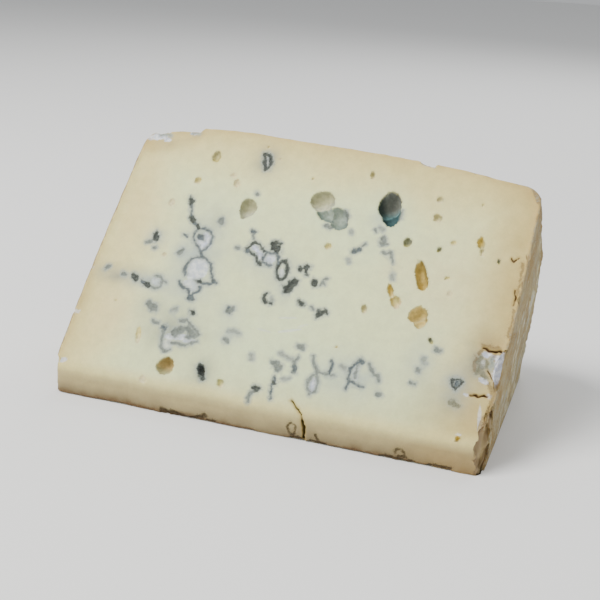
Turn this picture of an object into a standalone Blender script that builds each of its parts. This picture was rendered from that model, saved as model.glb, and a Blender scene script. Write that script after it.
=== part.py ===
"""A loose wedge of blue cheese, cut from a drum-shaped wheel and lying on one of its cut faces.

The wheel's axis runs along X.  The lower cut face lies on Z = 0, the upper one leans back from
the front, and the two meet at the front in a blunt nose, where the wheel's heart was.  The
curved rim of the wheel is at the back, and its two flat faces are the wedge's ends.  The wedge
is one solid: its rind and its mould are only looks, but its larger eyes are real hollows.
"""
import math

import bmesh
import bpy
from mathutils import Matrix, Vector, noise

MM = 0.001

# The wheel that the wedge was cut from.  Its axis is X; its flat faces are the wedge's ends.
LEFT_END = -70.4 * MM               # the left flat face, at the rim
RIGHT_END = 73.4 * MM               # the right flat face, at the rim, where it doesn't lean
WHEEL_HEIGHT = RIGHT_END - LEFT_END
WHEEL_RADIUS = 104.5 * MM           # at the two flat faces
WEDGE_ANGLE = math.radians(49.5)    # between the two cut faces
RIM_BARREL = 5.0 * MM               # how far the rim bulges between the flat faces
BARREL_SKEW = 0.70                  # below 1, the bulge is fullest left of the middle
BARREL_FULLNESS = 2.2               # 2 is a parabola, more is a broader bulge
RIM_TAPER = 1.3 * MM                # the rim stands this much higher at the left, lower at the right
SWELL_LEFT = 4.2 * MM               # how far each flat face swells out at the wheel's heart
SWELL_RIGHT = 0.6 * MM
SWELL_REACH = 6                     # how quickly that swelling dies away from the end
LEAN_IN = 2.4 * MM                  # at the rim, the right flat face stands in this far at its foot
LEAN_OUT = 1.6 * MM                 # and out this far at the top
LEAN_HEIGHT = 48.0 * MM             # where it has come out all the way
SHOULDER_LEFT = 3.5 * MM            # rounding between the rim and each flat face
SHOULDER_RIGHT = 5.5 * MM
RIM_WAVE = 0.5 * MM                 # slow unevenness of the rind
RIM_WAVE_SIZE = 26.0 * MM

# The cuts.
NOSE_HEIGHT = 9.5 * MM              # the blunt front facet
NOSE_ROUND_LEFT = 2.5 * MM          # the nose is worn back at its left end
NOSE_ROUND_RIGHT = 0.6 * MM
EDGE_ROUND = 1.0 * MM               # rounding along the cut edges
NOSE_ROUND = 2.4 * MM               # softer rounding between the nose facet and the upper cut
NOSE_SETBACK = NOSE_HEIGHT / math.tan(WEDGE_ANGLE)

# How finely the form is divided.
STATIONS = 40
FACET_STEPS = 2
CUT_STEPS = 7
RIM_STEPS = 18
BASE_STEPS = 5
END_RINGS = 4
EYE_SUBDIVISIONS = 2
EYE_UNEVENNESS = 0.16
EYE_SUNK = 0.25                     # how far an eye's centre lies below the cut, in its depths

# Eyes in the upper cut face, in millimetres: across from the middle, up from the nose, half
# width, half height, depth, and tilt in degrees.
EYES = {
    "eye_mouldy_deep": (26.0, 76.0, 4.0, 6.4, 6.0, -4),
    "eye_pale_upper": (2.3, 75.6, 4.2, 3.8, 3.0, 10),
    "eye_pale_lower": (9.4, 69.6, 3.3, 4.4, 3.0, 18),
    "eye_grey": (-23.8, 68.9, 2.9, 3.8, 2.6, -8),
    "eye_slit": (42.2, 53.0, 2.0, 5.4, 4.0, 16),
    "eye_slanted": (35.3, 43.6, 1.9, 3.2, 2.8, 32),
    "eye_round": (44.6, 39.2, 3.0, 3.5, 4.0, 20),
    "eye_low_left": (-35.0, 7.2, 2.8, 3.1, 3.4, -15),
    "eye_slot": (-22.0, 7.5, 1.3, 3.0, 3.0, 28),
    "eye_mouldy_oval": (-4.8, 47.4, 2.2, 3.7, 2.2, 8),
    "eye_right": (59.0, 67.4, 1.2, 2.4, 2.0, 10),
    "eye_ringed": (-22.0, 87.4, 1.9, 2.8, 1.8, 18),
    "eye_upper_left": (-41.2, 86.9, 1.5, 1.8, 1.8, 10),
    "eye_green": (34.8, 64.5, 1.4, 1.8, 1.6, 0),
    "eye_top": (17.0, 87.5, 0.9, 1.5, 1.2, 14),
    "eye_upper_right": (42.8, 75.0, 1.5, 1.5, 1.4, 0),
    "eye_small_slanted": (26.3, 38.6, 1.0, 1.6, 1.2, 12),
}

# Crust broken from the edges of the upper cut face, at the right end and along the rim, in the
# same terms.
CHIPS = {
    "chip_mouldy": (74.3, 25.0, 2.6, 7.0, 2.6, 0),
    "chip_flaked": (76.6, -3.0, 6.2, 17.0, 13.0, 4),
    "chip_rim_left": (-66.0, 97.4, 6.0, 3.2, 3.0, 6),
    "chip_rim_right": (35.2, 96.8, 4.6, 2.4, 2.6, -4),
}

PASTE_COLOUR = (0.64, 0.60, 0.47, 1.0)
PASTE_ROUGHNESS = 0.55


def clear_scene():
    """Remove every object the file opened with."""
    for thing in list(bpy.data.objects):
        bpy.data.objects.remove(thing, do_unlink=True)


def corner_drop(distance, radius):
    """How far a rounding of this radius falls below its tangent, at a distance from the edge."""
    if distance >= radius:
        return 0.0
    short = radius - distance
    return radius - math.sqrt(max(radius * radius - short * short, 0.0))


def rim_radius(x):
    """The wheel's radius at a place along its axis, with its bulge and its rounded shoulders."""
    along = min(max((x - LEFT_END) / WHEEL_HEIGHT, 0.0), 1.0)
    bulge = 1.0 - abs(2.0 * along ** BARREL_SKEW - 1.0) ** BARREL_FULLNESS
    radius = WHEEL_RADIUS + RIM_BARREL * bulge + RIM_TAPER * (1.0 - 2.0 * along)
    radius -= corner_drop(x - LEFT_END, SHOULDER_LEFT)
    radius -= corner_drop(RIGHT_END - x, SHOULDER_RIGHT)
    return radius


def nose_recess(x):
    """How far behind Y = 0 the nose facet lies, at a place along its length."""
    return corner_drop(x - LEFT_END, NOSE_ROUND_LEFT) + corner_drop(RIGHT_END - x, NOSE_ROUND_RIGHT)


def line(start, end, steps):
    """Points from start towards end, both ends included."""
    return [start.lerp(end, step / steps) for step in range(steps + 1)]


def round_corner(before, after, corner, radius):
    """Three points that round the corner between a stretch ending in it and one leaving it."""
    come = corner + (before - corner).normalized() * radius
    leave = corner + (after - corner).normalized() * radius
    return [come, (come + leave + corner * 2.0) / 4.0, leave]


def section(x):
    """The wedge's outline across the wheel's axis, as (y, z), from the nose over the top."""
    axis = Vector((-NOSE_SETBACK, 0.0))
    radius = rim_radius(x)
    recess = nose_recess(x)
    nose_foot = Vector((recess, 0.0))
    nose_top = Vector((recess, (recess + NOSE_SETBACK) * math.tan(WEDGE_ANGLE)))
    arc = [axis + radius * Vector((math.cos(turn), math.sin(turn)))
           for turn in (WEDGE_ANGLE * (1.0 - step / RIM_STEPS) for step in range(RIM_STEPS + 1))]
    corners = [
        round_corner(arc[-1], nose_top, nose_foot, EDGE_ROUND),
        round_corner(nose_foot, arc[0], nose_top, NOSE_ROUND),
        round_corner(nose_top, arc[1], arc[0], EDGE_ROUND),
        round_corner(arc[-2], nose_foot, arc[-1], EDGE_ROUND),
    ]
    outline = []
    outline += corners[0][1:2] + line(corners[0][2], corners[1][0], FACET_STEPS)
    outline += corners[1][1:2] + line(corners[1][2], corners[2][0], CUT_STEPS)
    outline += corners[2][1:] + arc[1:-1] + corners[3][:2]
    outline += line(corners[3][2], corners[0][0], BASE_STEPS)
    return outline


def lean(height):
    """How far the right flat face stands out at the rim, at a height above its foot."""
    part = min(max(height / LEAN_HEIGHT, 0.0), 1.0)
    return (LEAN_IN + LEAN_OUT) * part * part * (3.0 - 2.0 * part) - LEAN_IN


def swell(point):
    """Move a point of the plain form out with the swelling and lean of the nearer flat face."""
    from_axis = math.hypot(point.y + NOSE_SETBACK, point.z) / WHEEL_RADIUS
    out = max(1.0 - from_axis * from_axis, 0.0)
    along = 2.0 * (point.x - LEFT_END) / WHEEL_HEIGHT - 1.0
    most = SWELL_RIGHT * out + lean(point.z) * from_axis if along > 0.0 else -SWELL_LEFT * out
    return point + Vector((most * abs(along) ** SWELL_REACH, 0.0, 0.0))


def wave(point):
    """Give the rind its slow unevenness, growing from nothing at the cut faces."""
    turn = math.atan2(point.z, point.y + NOSE_SETBACK)
    inside = max(math.sin(math.pi * turn / WEDGE_ANGLE), 0.0)
    from_axis = math.hypot(point.y + NOSE_SETBACK, point.z) / WHEEL_RADIUS
    height = RIM_WAVE * inside * from_axis ** 3 * noise.noise(point / RIM_WAVE_SIZE)
    return point + height * Vector((0.0, math.cos(turn), math.sin(turn)))


def stations():
    """Places along the wheel's axis, closer together towards the rounded ends."""
    turns = [math.pi * step / STATIONS for step in range(STATIONS + 1)]
    return [LEFT_END + WHEEL_HEIGHT * (1.0 - math.cos(turn)) / 2.0 for turn in turns]


def end_loops(x):
    """Ever smaller copies of the end outline, towards the middle of a flat face."""
    outline = section(x)
    centre = sum(outline, Vector((0.0, 0.0))) / len(outline)
    loops = []
    for ring in range(1, END_RINGS + 1):
        shrink = 1.0 - ring / (END_RINGS + 0.5)
        loops.append([(x, centre + (place - centre) * shrink) for place in outline])
    return loops


def body_loops():
    """All loops of the form, from the middle of the left end to the middle of the right."""
    places = stations()
    loops = list(reversed(end_loops(places[0])))
    loops += [[(x, place) for place in section(x)] for x in places]
    loops += end_loops(places[-1])
    return [[wave(swell(Vector((x, place.x, place.y)))) for x, place in loop] for loop in loops]


def box_middle(points):
    """The middle of the points' box in X and Y, at Z = 0."""
    across = [point.x for point in points]
    deep = [point.y for point in points]
    return Vector(((min(across) + max(across)) / 2, (min(deep) + max(deep)) / 2, 0.0))


def add_object(name, mesh):
    """Link a new object to the scene."""
    thing = bpy.data.objects.new(name, mesh)
    bpy.context.scene.collection.objects.link(thing)
    return thing


def make_body(loops, middle):
    """Skin the loops and close both ends."""
    form = bmesh.new()
    rings = [[form.verts.new(point - middle) for point in loop] for loop in loops]
    count = len(rings[0])
    for ring, following in zip(rings, rings[1:]):
        for step in range(count):
            after = (step + 1) % count
            form.faces.new((ring[step], ring[after], following[after], following[step]))
    form.faces.new(list(reversed(rings[0])))
    form.faces.new(rings[-1])
    bmesh.ops.recalc_face_normals(form, faces=form.faces)
    mesh = bpy.data.meshes.new("cheese_wedge")
    form.to_mesh(mesh)
    form.free()
    mesh.shade_smooth()
    mesh.set_sharp_from_angle(angle=math.radians(35))
    return add_object("cheese_wedge", mesh)


def cut_face_frame(middle):
    """Axes of the upper cut face: X across, Y up the slope, Z out of the cheese."""
    up = Vector((0.0, math.cos(WEDGE_ANGLE), math.sin(WEDGE_ANGLE)))
    out = Vector((0.0, -math.sin(WEDGE_ANGLE), math.cos(WEDGE_ANGLE)))
    origin = Vector((0.0, 0.0, NOSE_HEIGHT)) - middle
    frame = Matrix.Identity(4)
    frame.col[1] = up.to_4d() * Vector((1, 1, 1, 0))
    frame.col[2] = out.to_4d() * Vector((1, 1, 1, 0))
    frame.col[3] = origin.to_4d()
    return frame


def make_cutter(name, frame, place, half_sizes, tilt, sunk):
    """An uneven ball that cuts one hollow."""
    mesh = bpy.data.meshes.new(name)
    form = bmesh.new()
    bmesh.ops.create_icosphere(form, subdivisions=EYE_SUBDIVISIONS, radius=1.0)
    seed = Vector((len(name) * 3.1, place.x * 97.0, place.y * 53.0))
    for vert in form.verts:
        vert.co *= 1.0 + EYE_UNEVENNESS * noise.noise(vert.co * 1.3 + seed)
    sizes = Matrix.Diagonal((*half_sizes, 1.0))
    shift = Matrix.Translation((place.x, place.y, -sunk))
    form.transform(frame @ shift @ Matrix.Rotation(math.radians(tilt), 4, "Z") @ sizes)
    form.to_mesh(mesh)
    form.free()
    cutter = bpy.data.objects.new(name, mesh)
    cutter.hide_render = True
    cutter.display_type = "WIRE"
    return cutter


def cut_hollows(body, middle):
    """Cut the eyes and the broken crust out of the body."""
    group = bpy.data.collections.new("cutters")
    bpy.context.scene.collection.children.link(group)
    frame = cut_face_frame(middle)
    for name, (across, up, wide, high, deep, tilt) in EYES.items():
        place = Vector((across * MM, up * MM))
        sizes = (wide * MM, high * MM, deep * MM / (1.0 + EYE_SUNK))
        group.objects.link(make_cutter(name, frame, place, sizes, tilt, EYE_SUNK * sizes[2]))
    for name, (across, up, wide, high, deep, tilt) in CHIPS.items():
        place = Vector((across * MM, up * MM))
        sizes = (wide * MM, high * MM, deep * MM)
        group.objects.link(make_cutter(name, frame, place, sizes, tilt, 0.0))
    cut = body.modifiers.new("hollows", "BOOLEAN")
    cut.operation = "DIFFERENCE"
    cut.operand_type = "COLLECTION"
    cut.collection = group
    cut.solver = "EXACT"


def paste_material():
    """Ivory paste, slightly waxy."""
    material = bpy.data.materials.new("paste")
    material.use_nodes = True
    shader = material.node_tree.nodes["Principled BSDF"]
    shader.inputs["Base Color"].default_value = PASTE_COLOUR
    shader.inputs["Roughness"].default_value = PASTE_ROUGHNESS
    shader.inputs["Metallic"].default_value = 0.0
    return material


def main():
    clear_scene()
    loops = body_loops()
    middle = box_middle([point for loop in loops for point in loop])
    body = make_body(loops, middle)
    body.data.materials.append(paste_material())
    cut_hollows(body, middle)


main()
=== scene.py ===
"""The looks of a loose wedge of blue cheese that lies on one of its cut faces.

One dense closed mesh stands for the CAD wedge.  It repeats the wedge's form from the same sizes,
in millimetres, and adds what is too fine for the CAD: small eyes, mould, cracks, chipped crust
and a rough rind.  A place on the upper cut face is given as (across, up): millimetres along the
wheel's axis, and millimetres up the slope from the nose.  Below 0 it runs down the nose facet.
"""
import math

import bpy
import numpy as np
from mathutils import Matrix, Vector


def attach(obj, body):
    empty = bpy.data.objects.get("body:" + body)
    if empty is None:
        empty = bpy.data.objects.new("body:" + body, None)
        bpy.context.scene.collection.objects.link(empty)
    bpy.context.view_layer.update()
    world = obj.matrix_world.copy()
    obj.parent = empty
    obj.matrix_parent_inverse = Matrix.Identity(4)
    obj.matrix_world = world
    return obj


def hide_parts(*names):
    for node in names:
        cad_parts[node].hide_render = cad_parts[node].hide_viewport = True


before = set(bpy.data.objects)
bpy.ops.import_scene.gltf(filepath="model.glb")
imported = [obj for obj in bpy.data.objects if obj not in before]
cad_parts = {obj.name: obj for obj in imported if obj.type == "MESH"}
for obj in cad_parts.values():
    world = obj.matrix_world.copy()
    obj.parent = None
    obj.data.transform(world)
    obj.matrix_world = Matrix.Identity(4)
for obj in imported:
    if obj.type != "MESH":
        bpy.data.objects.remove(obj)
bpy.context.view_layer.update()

MM = 0.001

# ---------------------------------------------------------------- the form, as in the CAD, in mm
LEFT_END = -70.4
RIGHT_END = 73.4
WHEEL_HEIGHT = RIGHT_END - LEFT_END
WHEEL_RADIUS = 104.5
WEDGE_ANGLE = math.radians(49.5)
RIM_BARREL = 5.0
BARREL_SKEW = 0.70
BARREL_FULLNESS = 2.2
RIM_TAPER = 1.3
SWELL_LEFT = 4.2
SWELL_RIGHT = 0.6
SWELL_REACH = 6
LEAN_IN = 2.4
LEAN_OUT = 1.6
LEAN_HEIGHT = 48.0
SHOULDER_LEFT = 3.5
SHOULDER_RIGHT = 5.5
NOSE_HEIGHT = 9.5
NOSE_ROUND_LEFT = 2.5
NOSE_ROUND_RIGHT = 0.6
EDGE_ROUND = 1.0
NOSE_ROUND = 2.4
NOSE_SETBACK = NOSE_HEIGHT / math.tan(WEDGE_ANGLE)

# ------------------------------------------------------- how finely the surface is divided
FINE = 4                    # the finest squares are this many times smaller than the coarse ones
END_COLUMNS = 16            # coarse rings on each end face
LENGTH_COLUMNS = 96         # coarse steps along the wheel's axis
FACET_ROWS = 6              # coarse steps around: nose facet, upper cut, rim, lower cut
CUT_ROWS = 62
RIM_ROWS = 60
BASE_ROWS = 40
COLUMNS = LENGTH_COLUMNS + 2 * END_COLUMNS
ROWS = FACET_ROWS + CUT_ROWS + RIM_ROWS + BASE_ROWS
END_MIDDLE = (56.0, 33.0)   # the point that the rings on the end faces close in on
END_HUB = 0.04              # size of the innermost ring

SHARP_ANGLE = math.radians(48)

THICKEN = 0.06              # mould spreads this far beyond the lines below
MOULD_DEPTH = 0.75          # how deep its pits are, on the upper cut face and on the lower
UNDER_MOULD_DEPTH = 0.6
LIP_REACH = 2.6             # how far pale mould reaches over the edge of the right end
FLAKING_FROM = 60.0         # right of this, broken crust shows its torn inside
NOWHERE = -1.5              # stored where there is no mould or crack near
CREST_RISE = 1.7            # how proud a stretch of the upper edge stands
UNDER_TURN = 98.0           # the lower cut face's features are turned about half of this

UP = np.array((0.0, math.cos(WEDGE_ANGLE), math.sin(WEDGE_ANGLE)))
OUT = np.array((0.0, -math.sin(WEDGE_ANGLE), math.cos(WEDGE_ANGLE)))

# ------------------------------------------------------------------------------ features
# Eyes: across, up, half width, half height, tilt (degrees), depth, lining.
EYES = [
    (25.9, 77.2, 3.9, 5, 0, 4.6, "deep"),
    (26.9, 73.6, 3.2, 4.4, 6, 3.6, "teal"),
    (2.3, 75.6, 4.2, 3.8, 10, 2.6, "olive"),
    (9.4, 69.6, 3.3, 4.4, 18, 2.8, "pale"),
    (4.6, 71, 3.6, 2.6, -38, 2.2, "pale"),
    (-23.8, 68.9, 2.9, 3.8, -8, 2.4, "olive"),
    (41.8, 53.6, 1.8, 5.2, 17, 2.8, "honey"),
    (43, 51.2, 1.9, 2.9, 8, 3, "honey"),
    (35.8, 42.9, 1.8, 2.4, 28, 1.8, "rosy"),
    (33.3, 46.4, 0.9, 2.4, 24, 1.6, "ochre"),
    (44.2, 39.6, 3.1, 2.9, 24, 3.2, "amber"),
    (45.2, 38, 2.5, 2.7, 0, 3.2, "amber"),
    (-35, 7.2, 2.9, 3.1, -15, 2.9, "bronze"),
    (58.8, 68, 1.2, 2.1, 14, 1.5, "yellow"),
    (59.6, 65.2, 0.5, 1.7, 4, 0.8, "dim"),
    (-22, 7.6, 1.2, 2.4, 18, 1.5, "pit"),
    (-41.2, 86.6, 1.6, 1.9, 10, 1.1, "yellow_dim"),
    (34.8, 64.5, 1.4, 1.8, 0, 1.4, "green"),
    (17, 87.5, 0.8, 1.4, 14, 1.1, "dim"),
    (42.8, 75, 1.6, 1.4, -20, 1.2, "dim"),
    (42.2, 81.8, 1.2, 1.1, 0, 0.7, "dim"),
    (26.3, 38.6, 0.9, 1.5, 12, 1, "dim"),
    (-45.2, 77, 1.2, 1.4, 0, 0.9, "tan"),
    (-30.5, 78, 1.2, 1.7, 20, 0.8, "cream"),
    (-32.6, 81, 1.2, 0.8, 0, 0.5, "cream"),
    (-52.2, 67, 1.1, 1.5, 0, 0.5, "cream"),
    (8.5, 59, 1.2, 1.2, 0, 1, "tan"),
    (65, 1.6, 0.7, 1, -20, 1.2, "ochre"),
    (50, 31.6, 0.6, 1.2, 40, 0.9, "green"),
    (45.8, 63.6, 0.7, 1.1, -14, 0.9, "green"),
    (49.9, 66.6, 0.9, 0.9, 0, 0.6, "tan"),
    (50.5, 53.8, 0.8, 0.6, 0, 0.6, "tan"),
    (52.5, 48.6, 0.9, 0.9, 0, 0.4, "cream"),
    (65.7, 62.4, 0.5, 0.9, 20, 0.8, "green"),
    (-48, 16, 0.8, 3.3, 12, 0.5, "tan"),
    (-41.3, 1, 1.2, 1.5, 0, 0.4, "cream"),
    (-14.3, 4.8, 1.1, 1.6, 30, 0.8, "green_pale"),
    (-48.3, 46.7, 0.8, 0.9, 0, 0.4, "cream"),
    (-23, 92.5, 0.5, 0.4, 0, 0.4, "tan"),
    (-17.4, 88.9, 0.5, 0.5, 0, 0.4, "cream"),
    (-60.5, 27, 0.5, 0.4, 0, 0.4, "tan"),
    (20.5, 24, 0.5, 0.4, 30, 0.4, "tan"),
    (-3.5, 83.5, 0.5, 0.4, 0, 0.4, "tan"),
    (56.5, 82, 0.4, 0.6, 0, 0.4, "tan"),
]

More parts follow.
